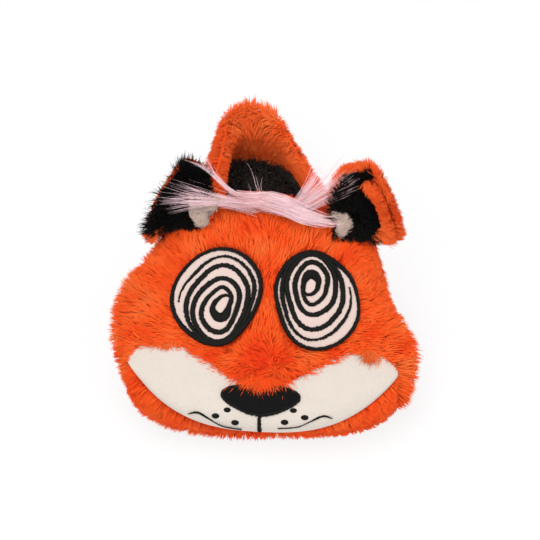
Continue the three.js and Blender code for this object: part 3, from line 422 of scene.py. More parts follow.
def ear_at(name, across, rise, out):
    """A point of an ear's core, which the pile grows out of: across -1 (inner) to 1 (outer), rise 0
    (base) to 1 (tip), `out` to the front. Below its base the front lies on the head as an apron."""
    across, rise, out = np.broadcast_arrays(across, rise, out)
    tuck = 1 - EAR_TUCK[name] * (1 - ease(rise, 0, 0.45)) * (across > 0)
    reach = ear_middle + ear_half * across * tuck * leaf(np.maximum(rise, 0)) * EAR_CORE
    base = ear_base(reach)
    cup = EAR_CUP * (1 - across**2) * np.sin(math.pi * np.clip(rise, 0, 0.9) * 0.6)
    lift = np.abs(out) * np.clip(1 - rise, 0, 1) ** 6
    spot = base + (rise * EAR_HEIGHT * EAR_CORE + lift)[..., None] * ear_rise[name]
    spot = spot + (out - cup)[..., None] * ear_face[name]
    apron = EAR_SEAM_T + np.minimum(rise, 0) * EAR_APRON[name] / PROFILE_LENGTH
    over = mix(EAR_SEAT + np.maximum(out, 0.5), -2.5, ease(-rise, 0.45, 0.9))
    laid = head_at(sweep_angle(reach), apron, over)
    spot = np.where((rise < 0)[..., None], laid, spot)
    return spot * np.array([1 if name == "right" else -1, 1, 1])


def looped(values):
    """A smooth closed curve through 8 values a turn."""
    values = np.asarray(values, float)
    curve = spline(np.concatenate([values[-2:], values, values[:3]])[:, None])
    return lambda turn: curve((np.mod(turn, 1) * len(values) + 2) / (len(values) + 4))[..., 0]


def eye_spot(name, turn, share, settings):
    """A point of an eye on the pattern: turns run clockwise from the spiral's tail, and shares run
    from the core (0) to the middle of the outline (1)."""
    across, up = EYE_CORE[name]
    angle = EYE_START[name] - turn * 2 * math.pi
    radius = looped(EYE_RADII[name])(turn) * share * settings.eye_size
    return across + np.cos(angle) * radius, up + np.sin(angle) * radius


def eye_reach(across, up, settings):
    """How far a pattern point lies from the nearer eye's core, as a share of the outline there."""
    reach = np.full(np.shape(across), 9.0)
    for name, _ in SIDES:
        x, y = across - EYE_CORE[name][0], up - EYE_CORE[name][1]
        turn = (EYE_START[name] - np.arctan2(y, x)) / (2 * math.pi)
        edge = looped(EYE_RADII[name])(turn) * settings.eye_size
        reach = np.minimum(reach, np.hypot(x, y) / edge)
    return reach


# Meshes

def mesh_piece(name, verts, quads, tris=None, uv=None):
    """One mesh from arrays: corners in mm, faces of four, faces of three, and a map for each corner
    of each face in that order."""
    mesh = bpy.data.meshes.new(name)
    tris = np.zeros((0, 3), int) if tris is None else tris
    loops = np.concatenate([quads.ravel(), tris.ravel()]).astype(np.int32)
    counts = np.concatenate([np.full(len(quads), 4), np.full(len(tris), 3)])
    mesh.vertices.add(len(verts))
    mesh.vertices.foreach_set("co", (verts * MM).astype(np.float32).ravel())
    mesh.loops.add(len(loops))
    mesh.loops.foreach_set("vertex_index", loops)
    mesh.polygons.add(len(counts))
    mesh.polygons.foreach_set("loop_start", (np.cumsum(counts) - counts).astype(np.int32))
    mesh.update(calc_edges=True)
    mesh.polygons.foreach_set("use_smooth", np.full(len(counts), True))
    if uv is not None:
        mesh.uv_layers.new(name="OFBake").data.foreach_set("uv", uv.astype(np.float32).ravel())
    mesh.validate()
    return linked(name, mesh)


def linked(name, data):
    """A new object in the scene."""
    made = bpy.data.objects.new(name, data)
    bpy.context.scene.collection.objects.link(made)
    return made


def closed_mesh(piece):
    """Merges doubled corners and turns every face out."""
    work = bmesh.new()
    work.from_mesh(piece.data)
    bmesh.ops.remove_doubles(work, verts=work.verts, dist=WELD)
    bmesh.ops.dissolve_degenerate(work, dist=WELD, edges=work.edges)
    bmesh.ops.recalc_face_normals(work, faces=work.faces)
    work.to_mesh(piece.data)
    work.free()
    piece.data.update()
    return piece


def layer(name, place, steps_u, steps_v, ring=False):
    """A closed layer over a grid: place(u, v, side) gives its low (0) and high (1) face, joined by
    walls along the edges. A ring closes on itself in u."""
    u, v = np.meshgrid(*(np.linspace(0, 1, steps + 1) for steps in (steps_u, steps_v)),
                       indexing="ij")
    if ring:
        u[-1] = 0
    verts = np.concatenate([place(u, v, side).reshape(-1, 3) for side in (0, 1)])
    index = np.arange(u.size).reshape(u.shape)
    high = index + index.size

    def strip(a, b):
        return np.stack([a[:-1], a[1:], b[1:], b[:-1]], -1).reshape(-1, 4)

    quads = [
        strip(high[:, :-1], high[:, 1:]), strip(index[:, :-1], index[:, 1:])[:, (0, 3, 2, 1)],
        strip(index[:, 0], high[:, 0]), strip(high[:, -1], index[:, -1]),
    ]
    if not ring:
        quads += [strip(high[0], index[0]), strip(index[-1], high[-1])]
    return closed_mesh(mesh_piece(name, verts, np.concatenate(quads)))


def strands(name, lines, width, shade, normal=None, soft=0.7):
    """Hair: each line of points carries a three-sided tube that narrows to a tip. Its map holds the
    shade across (one column for each of SHADES) and the way from root to tip up. Pile is lit as
    one soft surface: its normals lean by `soft` to the normal of the skin at the root."""
    count, points, _ = lines.shape
    rings = points - 1
    along = unit(np.diff(lines, axis=1))
    first = along[:, :1]
    helper = np.where(np.abs(first[..., 2:]) > 0.8, [1.0, 0, 0], [0, 0, 1.0])
    a = unit(np.cross(along, helper))
    b = np.cross(along, a)
    turn = np.arange(3) * (2 * math.pi / 3)
    share = np.arange(rings) / rings
    radius = width[:, None] / 2 * (1 - share**2.2 * 0.75)
    tube = a[:, :, None] * np.cos(turn)[:, None] + b[:, :, None] * np.sin(turn)[:, None]
    ring = lines[:, :-1, None] + tube * radius[..., None, None]
    verts = np.concatenate([ring.reshape(count, -1, 3), lines[:, -1:]], 1)
    base = (np.arange(count) * (3 * rings + 1))[:, None, None, None]
    k, j = np.arange(rings - 1)[:, None, None], np.arange(3)[:, None]
    right = (j + 1) % 3
    quads = base + 3 * k + np.concatenate([j, right, 3 + right, 3 + j], -1)
    top = 3 * (rings - 1)
    cap = [(top + k, top + (k + 1) % 3, 3 * rings) for k in range(3)]
    tris = base[:, :, 0] + np.array([*cap, (2, 1, 0)])
    column = np.floor(np.clip(shade, 0, 0.999) * SHADES)[:, None, None, None] + 0.1
    quad_uv = columns((column + 0.8 * (j + [0, 1, 1, 0]) / 3) / SHADES, (k + [0, 0, 1, 1]) / rings)
    cap_u = np.array([[0, 1, 0.5], [1, 2, 1.5], [2, 3, 2.5], [2, 1, 0]])
    cap_v = np.array([[(rings - 1) / rings] * 2 + [1]] * 3 + [[0.02, 0, 0.02]])
    tri_uv = columns((column[:, 0] + 0.8 * cap_u / 3) / SHADES, cap_v)
    uv = np.concatenate([part.reshape(-1, 2) for part in (quad_uv, tri_uv)])
    piece = mesh_piece(name, verts.reshape(-1, 3), quads.reshape(-1, 4), tris.reshape(-1, 3), uv)
    if normal is not None:
        lit = unit(mix(tube.reshape(count, -1, 3), normal[:, None], soft))
        lit = np.concatenate([lit, normal[:, None]], 1).reshape(-1, 3)
        piece.data.normals_split_custom_set_from_vertices(lit)
    return piece


def rooted(surface, count, rng, allowed=None):
    """Roots spread evenly over surface(u, v, out): random places are kept in proportion to the area
    that a step in u and v covers there. Gives the roots, the normals and the places."""
    count = int(count * bpy.context.scene.plush_fur.density)
    places = rng.random((count * 7, 2))
    step = 1e-3
    u, v = places.T * (1 - step)
    spots = surface(u, v, 0.0)
    to_u, to_v = surface(u + step, v, 0.0) - spots, surface(u, v + step, 0.0) - spots
    normal = np.cross(to_u, to_v)
    area = np.linalg.norm(normal, axis=1)
    normal = unit(normal)
    normal *= np.sign(((surface(u, v, 1.0) - spots) * normal).sum(1))[:, None]
    keep = rng.random(len(u)) * np.percentile(area, 97) < area
    if allowed is not None:
        keep &= allowed(spots, u, v)
    keep = np.flatnonzero(keep)[:count]
    return spots[keep], normal[keep], u[keep], v[keep]


def along_surface(flow, normal):
    """The part of a flow that lies in the surface."""
    return unit(flow - (flow * normal).sum(1, keepdims=True) * normal)


def combed(root, normal, flow, length, rng, rings=3, lean=(0.3, 0.85), droop=0.0, wander=0.22,
           clump=5.5, gather=0.45, calm=1.0):
    """The centre lines of pile: each hair leaves near the normal and leans into the flow, and hairs
    of one clump draw together towards their tips. Where `calm` is low they stand up."""
    flow = unit(flow + rng.normal(size=flow.shape) * wander)
    tilt = rng.normal(size=flow.shape) * wander * 0.6
    point, line = root, [root]
    for k in range(rings):
        s = (k + 0.5) / rings
        a = np.reshape(mix(lean[0], lean[1], s) * calm, (-1, 1))
        heading = unit(normal * (1 - a) + flow * a + tilt + np.array([0, 0, -droop * s]))
        point = point + heading * (length / rings)[:, None]
        line.append(point)
    line = np.stack(line, 1)
    if clump:
        cell = np.floor((root + 2.2 * ripple(root, 9, 5)[:, None]) / clump).astype(int)
        _, group = np.unique(cell, axis=0, return_inverse=True)
        group = group.ravel()
        members = np.bincount(group)
        for k in range(1, rings + 1):
            middle = np.stack([np.bincount(group, line[:, k, c]) for c in range(3)], 1)
            middle = (middle / members[:, None])[group]
            line[:, k] += (middle - line[:, k]) * (gather * (k / rings) ** 1.3)
    return line


def shorten(line, share):
    """Shrinks each hair towards its root."""
    return line[:, :1] + (line - line[:, :1]) * share[:, None, None]


# Materials

class Term:
    """A shader socket that can be added and multiplied, by a Math node."""

    def __init__(self, nodes, socket):
        self.nodes, self.socket = nodes, socket

    def _math(self, operation, other):
        return self.nodes.node("ShaderNodeMath", {"operation": operation}, {0: self, 1: other})

    def __add__(self, other):
        return self._math("ADD", other)

    def __mul__(self, other):
        return self._math("MULTIPLY", other)

    __radd__, __rmul__ = __add__, __mul__


class Nodes:
    """A node tree: nodes are made by kind, with their settings first and then their sockets."""

    def __init__(self, tree):
        self.tree = tree

    def node(self, kind, settings=None, sockets=None, output=0):
        made = self.tree.nodes.new(kind)
        for key, value in (settings or {}).items():
            if key == "stops":
                while len(made.color_ramp.elements) < len(value):
                    made.color_ramp.elements.new(0.5)
                for stop, (place, colour) in zip(made.color_ramp.elements, value):
                    stop.position, stop.color = place, colour
            else:
                setattr(made, key, value)
        for key, value in (sockets or {}).items():
            self.join(made.inputs[key], value)
        return Term(self, made.outputs[output])

    def join(self, socket, value):
        if isinstance(value, Term):
            self.tree.links.new(value.socket, socket)
        else:
            socket.default_value = value


class Finish(Nodes):
    """One material."""

    def __init__(self, name):
        self.material = bpy.data.materials.new(name)
        self.material.use_nodes = True
        super().__init__(self.material.node_tree)
        self.shader = self.tree.nodes["Principled BSDF"]

    def set(self, **sockets):
        for key, value in sockets.items():
            self.join(self.shader.inputs[key.replace("_", " ")], value)

    def noise(self, scale, detail):
        place = self.node("ShaderNodeTexCoord", output=3)
        return self.node("ShaderNodeTexNoise", None,
                         {"Vector": place, "Scale": scale, "Detail": detail})

    def blend(self, factor, a, b, kind="MIX"):
        return self.node("ShaderNodeMix", {"data_type": "RGBA", "blend_type": kind},
                         {0: factor, 6: a, 7: b}, 2)

    def bump(self, height, distance):
        self.set(Normal=self.node("ShaderNodeBump", None,
                                  {"Height": height, "Distance": distance}))


def tone(colour, gain=1.0):
    return (*[min(c * gain, 1.0) for c in colour[:3]], 1.0)


def tones(colour, *gains):
    return [tone(colour, gain) for gain in gains]


def pile(name, deep, main, light, roughness):
    """Hair: the shade column picks between a deep, a main and a light colour, and roots are painted
    darker and redder than tips: painted shade deep in the pile."""
    finish = Finish(name)
    place = finish.node("ShaderNodeUVMap", {"uv_map": "OFBake"})
    across = finish.node("ShaderNodeSeparateXYZ", None, {0: place})
    up = Term(finish, across.socket.node.outputs[1])
    shade, root = (
        finish.node("ShaderNodeValToRGB", {"stops": stops}, {0: way}) for way, stops in (
            (across, ((0.0, tone(deep)), (0.5, tone(main)), (1.0, tone(light)))),
            # Painted shade: these stops darken and redden each hair towards its root
            (up, ((0.0, (0.72, 0.54, 0.52, 1)), (0.5, (0.95, 0.90, 0.89, 1)),
                  (0.85, (1, 1, 1, 1))))))
    finish.set(Base_Color=finish.blend(1.0, shade, root, "MULTIPLY"),
               Roughness=roughness, Specular_IOR_Level=0.12)
    return finish.material


def cloth(name, dark, light, grain, depth, roughness, sheen, mottle):
    """Felt, plush backing or foam: a fine grain in the bump and a soft mottle in the colour."""
    finish = Finish(name)
    patch, fine = finish.noise(mottle, 4.0), finish.noise(grain, 2.0)
    finish.set(Base_Color=finish.blend(patch * 0.7 + fine * 0.3, tone(dark), tone(light)),
               Roughness=roughness, Sheen_Weight=sheen, Sheen_Roughness=0.4,
               Specular_IOR_Level=0.1)
    finish.bump(fine, depth)
    return finish.material


def woven(name, dark, light, pitch):
    """Plain weave: two sets of threads from a pair of sine bands on the object's own x and y."""
    finish = Finish(name)
    place = finish.node("ShaderNodeTexCoord", output=3)
    bands = [finish.node("ShaderNodeTexWave", {"bands_direction": way}, {
        "Vector": place, "Scale": 0.314 / pitch, "Distortion": 0.4, "Detail": 1.0}, 1)
        for way in ("X", "Y")]
    height = bands[0] * 0.5 + bands[1] * 0.5
    worn = finish.noise(35.0, 4.0)
    finish.set(Base_Color=finish.blend(height * 0.6 + worn * 0.4, tone(dark), tone(light)),
               Roughness=0.85, Specular_IOR_Level=0.25)
    finish.bump(height, 0.0002)
    return finish.material


def dressed(piece, finish, slot, replaces=(), padded=None, body=BODY, bend=None):
    """Gives a piece its finish, hides the parts that it stands for and, without a bend, moves it
    with its body. The slot is not used. With a bend, a pair of points in mm, its place is only
    baked into its corners and it stays where it is."""
    piece.data.materials.append(finish_named(finish))
    if bend is None:
        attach(piece, body)
    else:
        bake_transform(piece)
    if replaces:
        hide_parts(*replaces)


def grown(name, roots, flow, length, shade, rng, lit=None, finish="orange fur",
          slot="orange_fur", body=BODY, bend=None, ruffle=(0.75, 1.1), speck=0.1, hair=None,
          thin=(0.8, 1.25), soft=0.7, **comb):
    """A piece of pile from its roots and their normals. From hair to hair, the length varies by the
    shares in `ruffle`, the width by those in `thin`, the shade by `speck`. `lit` are the normals
    that the light falls on."""
    root, normal = roots
    length = length * rng.uniform(*ruffle, len(root))
    line = combed(root, normal, along_surface(flow, normal), length, rng, **comb)
    line[..., 2] = np.maximum(line[..., 2], FLOOR_GAP)
    shade = shade + rng.normal(0, speck, len(root))
    width = (hair or bpy.context.scene.plush_fur.hair_width) * rng.uniform(*thin, len(root))
    dressed(strands(name, line, width, shade, lit, soft), finish, slot, body=body, bend=bend)


# Settings

def number_property(name, text, default, low, high, **kind):
    return bpy.props.FloatProperty(name=name, description=text, default=default, min=low, max=high,
                                   **kind)


def length_property(name, text, default, low, high):
    return number_property(name, text + ", in mm", default, low, high, unit="NONE")


def share_property(name, text, low, high):
    return number_property(name, text, 1.0, low, high, subtype="FACTOR")


def colour_property(name, text, default):
    return bpy.props.FloatVectorProperty(name=name, description=text, default=default, size=3,
                                         subtype="COLOR", min=0.0, max=1.0)


class FurSettings(bpy.types.PropertyGroup):
    """Sizes, numbers and colours of the pile."""

    face_length: length_property("Face pile", "Length of the forehead's pile", 11.0, 3.0, 20.0)
    cheek_length: length_property("Cheek pile", "Length of the cheeks' pile", 14.0, 3.0, 24.0)
    heel_length: length_property("Heel pile", "Length of the heel wall's pile", 11.0, 3.0, 20.0)
    hair_width: length_property("Hair width", "Width of a strand at its root", 0.75, 0.2, 2.0)
    root_depth: length_property("Root depth", "Depth of the roots under the pile", 5.0, 1.0, 7.0)
    density: share_property("Density", "Strands as a share of the full count", 0.05, 1.5)
    # Deep and light orange are shaded and lit copies of the orange: painted shade in partings and
    # painted light. Hairs also take them at random.
    orange_deep: colour_property("Deep orange", "Orange pile in partings", (0.9, 0.042, 0.005))
    orange_main: colour_property("Orange", "Orange pile", (1.0, 0.112, 0.014))
    orange_light: colour_property("Light orange", "Orange pile in light", (1.0, 0.20, 0.045))
    black: colour_property("Black pile", "Long pile of the ear fronts", (0.006, 0.006, 0.0055))
    cream: colour_property("Cream pile", "Short pile at the ears' roots", (0.76, 0.60, 0.52))
    pink: colour_property("Pink hair", "Long hair of the forelock", (1.0, 0.66, 0.70))
    charcoal: colour_property("Charcoal pile", "Pile of the insole", (0.06, 0.052, 0.047))


class FaceSettings(bpy.types.PropertyGroup):
    """Sizes and colours of the eyes, nose and muzzle."""

    eye_size: share_property("Eye size", "Size of the eyes", 0.5, 1.3)
    stitch_width: share_property("Stitch width", "Width of outlines and spirals", 0.3, 2.0)
    nose_width: length_property("Nose width", "Width of the nose", 53.5, 30.0, 80.0)
    muzzle_puff: length_property("Muzzle puff", "How far the muzzle swells", 2.6, 0.0, 6.0)
    white: colour_property("White plush", "Short plush of the muzzle", (0.65, 0.58, 0.515))
    eye_colour: colour_property("Eye plush", "Short plush of the eyes", (0.68, 0.53, 0.48))
    thread: colour_property("Thread", "Black satin thread", (0.007, 0.007, 0.006))
    felt: colour_property("Felt", "Felt of the nose", (0.006, 0.006, 0.006))


class StageSettings(bpy.types.PropertyGroup):
    """Camera and light."""

    turn: number_property("Turn", "Camera azimuth", math.radians(3.5), -math.pi, math.pi,
                          subtype="ANGLE")
    height: number_property("Height", "Camera elevation", math.radians(50), 0.0, math.pi / 2,
                            subtype="ANGLE")
    distance: number_property("Distance", "Camera distance", 1.0, 0.3, 5.0, unit="LENGTH")
    lamp_power: number_property("Lamp power", "Power of the lamps", 9.0, 0.0, 100.0, unit="POWER")
    world_light: number_property("World light", "Strength of the even light", 0.65, 0.0, 2.0)


# Pieces

FINISHES = {}


def finish_named(name):
    """The materials, each made when it is first asked for."""
    if name in FINISHES:
        return FINISHES[name]
    fur, face = bpy.context.scene.plush_fur, bpy.context.scene.plush_face
    # Deep, main and light colour, roughness
    piles = {
        "orange fur": (fur.orange_deep, fur.orange_main, fur.orange_light, 0.8),
        "black fur": (*tones(fur.black, 0.5, 1, 3), 0.6),
        "cream plush": (*tones(fur.cream, 0.72, 1, 1.1), 0.8),
        "pink hair": (*tones(fur.pink, 0.62, 1, 1.25), 0.5),
        "charcoal plush": (*tones(fur.charcoal, 0.5, 1, 3), 0.8),
    }
    # Dark and light colour, grain, depth of the bump, roughness, sheen, scale of the mottle
    cloths = {
        "orange backing": (*tones(fur.orange_main, 0.7, 0.9), 900, 0.0003, 0.9, 0, 60),
        "cream backing": (*tones(fur.cream, 0.45, 0.6), 900, 0.0003, 0.9, 0, 60),
        "black backing": (*tones(fur.black, 0.5, 1), 900, 0.0003, 0.9, 0, 60),
        "pink backing": (*tones(fur.pink, 0.5, 0.8), 900, 0.0003, 0.9, 0.2, 60),
        "white plush": (*tones(face.white, 0.93, 1.04), 650, 0.0006, 0.95, 0.4, 120),
        "eye plush": (*tones(face.eye_colour, 0.92, 1.05), 800, 0.0004, 0.95, 0.3, 90),
        "black thread": (*tones(face.thread, 0.5, 1.2), 1500, 0.0001, 0.6, 0, 400),
        "nose felt": (*tones(face.felt, 0.5, 1.3), 1100, 0.0003, 0.9, 0.02, 200),
        "foam": ((0.72, 0.66, 0.50), (0.80, 0.76, 0.62), 700, 0.0005, 0.9, 0.2, 60),
        "fibre": ((0.80, 0.80, 0.78), (0.92, 0.92, 0.90), 300, 0.001, 0.9, 0.2, 60),
        "vinyl": ((0.75, 0.75, 0.70), (0.82, 0.82, 0.78), 60, 0.0001, 0.4, 0, 60),
    }
    # Dark and light colour, distance between threads in m
    weaves = {
        "lining": ((0.012, 0.011, 0.010), (0.045, 0.040, 0.038), 0.0008),
        "canvas": ((0.012, 0.011, 0.011), (0.040, 0.036, 0.035), 0.0009),
    }
    for make, kinds in ((pile, piles), (cloth, cloths), (woven, weaves)):
        if name in kinds:
            FINISHES[name] = make(name, *kinds[name])
    return FINISHES[name]


HEAD_SWEEP = math.pi * 0.995
TOP_T, BAND_TOP_T = FORELOCK_T * 1.015, 0.45


def head_top(u, v, out):
    """The head from its front floor edge over the crown, in sweep angle and profile position."""
    return settled(head_at((u - 0.5) * HEAD_SWEEP, v * TOP_T, out))


def pattern_place(u, v, last_t):
    """Where places on the head lie on the face's pattern: (across, up)."""
    spots = head_at((u - 0.5) * HEAD_SWEEP, v * last_t, 0.0)
    return spots[..., 0], pattern_up(spots)


def throat_raw(u, v, out):
    return head_at((u - 0.5) * HEAD_SWEEP, mix(FORELOCK_T, 1.0, v), out)


def under_raw(u, v, out):
    """The head's underside, flat over the sole and curving up to the cheeks' centre."""
    angle = (u - 0.5) * math.pi * 0.97
    front, rear = (profile_at(np.float64(t), 0.0)[0] for t in (0, 1))
    share, shrink, height = squeezes(angle, np.float64(HEAD_FLOOR))
    spot = np.stack([np.sign(angle) * share * (HEAD_HALF_WIDTH + out),
                     CHEEK_BACK + (mix(front, rear, v) - CHEEK_BACK) * shrink - LENGTH / 2,
                     CHEEK_HEIGHT + (HEAD_FLOOR - out - CHEEK_HEIGHT) * height], -1)
    spot[..., 2] = np.maximum(spot[..., 2], 15.0 - 12.0 * ease(np.abs(spot[..., 0]), 40, 56))
    return spot


def pocket_arch(across, grow):
    """Height of the toe pocket's mouth over the insole's base, a power curve across."""
    half = POCKET["half"] + grow
    share = np.clip(np.abs(across) / half, 0, 1) ** (1 / 0.75)
    return (POCKET["high"] + grow) * np.maximum(1 - share**2, 0) ** 0.375


class PLUSH_OT_head_skin(bpy.types.Operator):
    """Make the cloth that the head's pile grows from"""

    bl_idname = "plush.head_skin"
    bl_label = "Head backing"

    def execute(self, context):
        depth = context.scene.plush_fur.root_depth

        def top(u, v, side):
            return head_top(u, v, -depth - (0 if side else SKIN))

        def throat(u, v, side):
            """Down to the floor, or to the pocket's mouth in the middle."""
            angle = (u - 0.5) * math.pi * 0.99
            across = head_at(angle, np.full_like(angle, FORELOCK_T), 0.0)[..., 0]
            sill = np.where(np.abs(across) < POCKET["half"],
                            INSOLE_BASE + pocket_arch(across, 2), HEAD_FLOOR)
            t = np.linspace(FORELOCK_T, 1, 200)
            _, up = profile_at(t, 0.0)
            end = np.interp(sill[:, :1], up[::-1], t[::-1])
            out = -depth - (0 if side else SKIN)
            return settled(head_at(angle, mix(FORELOCK_T, end, v), out))

        def under(u, v, side):
            spot = under_raw(u, v, -UNDER_DEPTH)
            spot[..., 2] += FLOOR_GAP + (0 if side else 2.0)
            return settled(spot)

        for name, place, steps, nodes in (
                ("head_skin", top, (72, 48), ("chin_band", "face_left", "face_right")),
                ("throat_skin", throat, (96, 24), ("throat_panel",)),
                ("underside_skin", under, (72, 12), ("underside_panel",))):
            dressed(layer(name, place, *steps), "orange backing", "orange_fur", nodes, 0.8)
        return {"FINISHED"}


def whirl_flow(spots, normals):
    """The face's pile runs out from a whirl on the bridge of the nose, and sinks on the cheeks."""
    away = spots - face_at(np.float64(0.5), np.float64(62.0), 0.0)
    low = ease(-spots[:, 2], -75, -35)[:, None]
    rough = columns(ripple(spots, 30, 21), ripple(spots, 26, 22), 0)
    flow = unit(away + 9 * rough) + low * np.array([0, 0, -0.55]) + 0.35 * rough
    return along_surface(flow, normals)


def face_fur(name, side, fur, face):
    """One half of the face's and the crown's pile, in a low and a high piece. It keeps off the eyes
    and the muzzle, and is shorter where the head is pressed in and beside the ear."""
    def allowed(spots, u, v):
        across, up = pattern_place(u, v, TOP_T)
        tips = np.abs(across) < MUZZLE_TIP_ACROSS
        front = v * TOP_T < CROWN_T
        muzzle = tips & (up < upper_seam_up(across) - 1.0) & front
        low = ~tips & (v * TOP_T < 0.16)
        eye = (eye_reach(across, up, face) < 1.0) & front
        return (across * side > 0) & ~muzzle & ~low & ~eye

    rng = np.random.default_rng(11 if side < 0 else 12)
    root, normal, u, v = rooted(lambda u, v, out: head_top(u, v, out - fur.root_depth),
                                21000, rng, allowed)
    across, up = pattern_place(u, v, TOP_T)
    wide = np.abs(across)
    cheek = ease(wide, 62, 100)
    pressed = np.maximum(ease(across, 60, 90) * ease(root[:, 1], -85, -50),
                         ease(-across, 78, 92) * (1 - ease(root[:, 2], 42, 58)))
    bridge = bell(across, 0, 26) * bell(up, 60, 22)
    by_ear = ease(up, 140, 175) * ease(wide, 34, 44)
    by_patch = ease(up, 136, 150) * bell(wide, 47, 9)
    tuft = ease(up, 148, 165) * bell(across, -12, 24)
    length = mix(fur.face_length, fur.cheek_length, cheek) * (1 + 0.3 * tuft)
    for less, where in ((0.12, bridge), (0.3, by_ear), (0.35, pressed), (0.35, by_patch)):
        length *= 1 - less * where
    length *= rng.uniform(0.75, 1.12, len(root))
    line = combed(root, normal, whirl_flow(root, normal), length, rng, droop=0.15)
    reach = [eye_reach(line[:, k, 0], pattern_up(line[:, k]), face) for k in (-1, -2)]
    line = shorten(line, mix(0.42, 1.0, ease(np.minimum(*reach), 0.96, 1.08)))
    shade = 0.5 + 0.22 * ripple(root, 26, 31) + 0.12 * ripple(root, 7, 36) + 0.1 * cheek
    # Painted shade: the pile is darker at the whirl on the bridge, where it parts
    shade += rng.normal(0, 0.09, len(root)) - 0.45 * bell(across, 0, 14) * bell(up, 62, 12)
    order, half = np.argsort(up), len(root) // 2
    for part, pick in (("low", order[:half]), ("high", order[half:])):
        width = fur.hair_width * rng.uniform(0.8, 1.25, len(pick))
        dressed(strands(f"face_fur_{name}_{part}", line[pick], width, shade[pick], normal[pick]),
                "orange fur", "orange_fur")


def face_tufts(fur):
    """Tufts that hang over the nose and over the muzzle's upper edge."""
    rng = np.random.default_rng(14)
    parts = []
    for x, up, wide, tall, count, long, (right, above) in TUFTS:
        across = x + rng.normal(0, wide * 0.5, count)
        height = up + rng.normal(0, tall * 0.5, count)
        root = face_at(across, height, -fur.root_depth)
        normal = unit(unit(face_at(across, height, 1.0) - root) + [0, -0.3, 0.4])
        fan = right + (across - x) / wide * 0.35
        ahead = face_at(across + fan, height + above, -fur.root_depth)
        length = long * rng.uniform(0.65, 1.1, count)
        line = combed(root, normal, along_surface(ahead - root, normal), length, rng, rings=4,
                      lean=(0.1, 0.95), clump=0)
        # Painted light: tufts further from the middle are painted lighter, against the shade they
        # hang in
        parts.append((line, normal, 0.45 + 0.006 * abs(x) + rng.normal(0, 0.12, count)))
    line, normal, shade = (np.concatenate(part) for part in zip(*parts))
    width = fur.hair_width * rng.uniform(0.7, 1.1, len(line))
    dressed(strands("face_tufts", line, width, shade, normal), "orange fur", "orange_fur")


def plain_fur(name, root, normal, flow, length, rng, seed, **rest):
    """Drooping pile with a soft mottle."""
    grown(name, (root, normal), flow, length, 0.45 + 0.2 * ripple(root, 20, seed), rng, normal,
          droop=0.2, **rest)


def band_fur(fur, rng):
    """The pile of the chin, below the muzzle's lower seam."""
    def allowed(spots, u, v):
        across, up = pattern_place(u, v, BAND_TOP_T)
        low = np.where(np.abs(across) < MUZZLE_TIP_ACROSS, up < lower_seam_up(across) - 0.2,
                       v * BAND_TOP_T < 0.2)
        return low & (spots[:, 2] > HEAD_FLOOR)

    def surface(u, v, out):
        return settled(head_at((u - 0.5) * HEAD_SWEEP, v * BAND_TOP_T, out - UNDER_DEPTH))

    root, normal, _, _ = rooted(surface, 11000, rng, allowed)
    x = root[:, 0]
    shorter = 1 - 0.3 * ease(-x, 84, 96) - 0.4 * ease(x, -20, 30)
    plain_fur("band_fur", root, normal, columns(x / 90, -0.4, -1), fur.face_length * 0.95 * shorter,
              rng, 32, ruffle=(0.7, 1.1), lean=(0.4, 0.9))


def throat_fur(fur, rng):
    """The pile behind the crown, but not where the heel wall or the pocket's mouth hides it."""
    def allowed(spots, u, v):
        x, _, z = throat_raw(u, v, 0.0).T
        wide = np.abs(x)
        hole = (wide < POCKET["half"] + 2) & (z < INSOLE_BASE + pocket_arch(x, 2))
        return ~hole & ((z > 66) | (wide > 84) | (wide < 40))

    root, normal, _, _ = rooted(lambda u, v, out: settled(throat_raw(u, v, out - fur.root_depth)),
                                11000, rng, allowed)
    plain_fur("throat_fur", root, normal, columns(root[:, 0] / 200, 0, -1), fur.face_length, rng,
              33, speck=0.16, thin=(0.9, 1.35), rings=2)


def underside_fur(fur, rng):
    """The pile under the head, beside the sole."""
    def allowed(spots, u, v):
        return (np.abs(spots[:, 0]) > 52) & (spots[:, 2] > HEAD_FLOOR)

    root, normal, _, _ = rooted(lambda u, v, out: settled(under_raw(u, v, out - 3.5)), 8000, rng,
                                allowed)
    plain_fur("underside_fur", root, normal, np.array([0, 0.5, -1]), fur.face_length * 0.8, rng,
              33, speck=0.12, thin=(0.9, 1.35), rings=2)


class PLUSH_OT_head_fur(bpy.types.Operator):
    """Grow the orange pile of the head"""

    bl_idname = "plush.head_fur"
    bl_label = "Head fur"

    def execute(self, context):
        fur, face = context.scene.plush_fur, context.scene.plush_face
        for name, side in SIDES:
            face_fur(name, side, fur, face)
        face_tufts(fur)
        rng = np.random.default_rng(13)
        band_fur(fur, rng)
        throat_fur(fur, rng)
        underside_fur(fur, rng)
        return {"FINISHED"}


class PLUSH_OT_muzzle(bpy.types.Operator):
    """Make the padded white muzzle"""

    bl_idname = "plush.muzzle"
    bl_label = "Muzzle"

    def execute(self, context):
        puff = context.scene.plush_face.muzzle_puff

        def place(u, v, side):
            across = (u - 0.5) * 2 * (MUZZLE_TIP_ACROSS + 1)
            low, high = lower_seam_up(across) - 0.8, upper_seam_up(across) + 2.5
            up = mix(low, np.maximum(high, low + 1), v)
            edge = [np.clip(1 - np.abs(2 * way - 1) ** power, 0, 1)
                    for way, power in ((v, 3.2), (u, 8))]
            full = mix(-3.2, puff, (edge[0] * edge[1]) ** 0.55)
            return face_at(across, up, full if side else -5.0 + 0 * u)

        dressed(layer("muzzle", place, 120, 40), "white plush", "white_plush", ("muzzle_panel",),
                0.7)
        return {"FINISHED"}


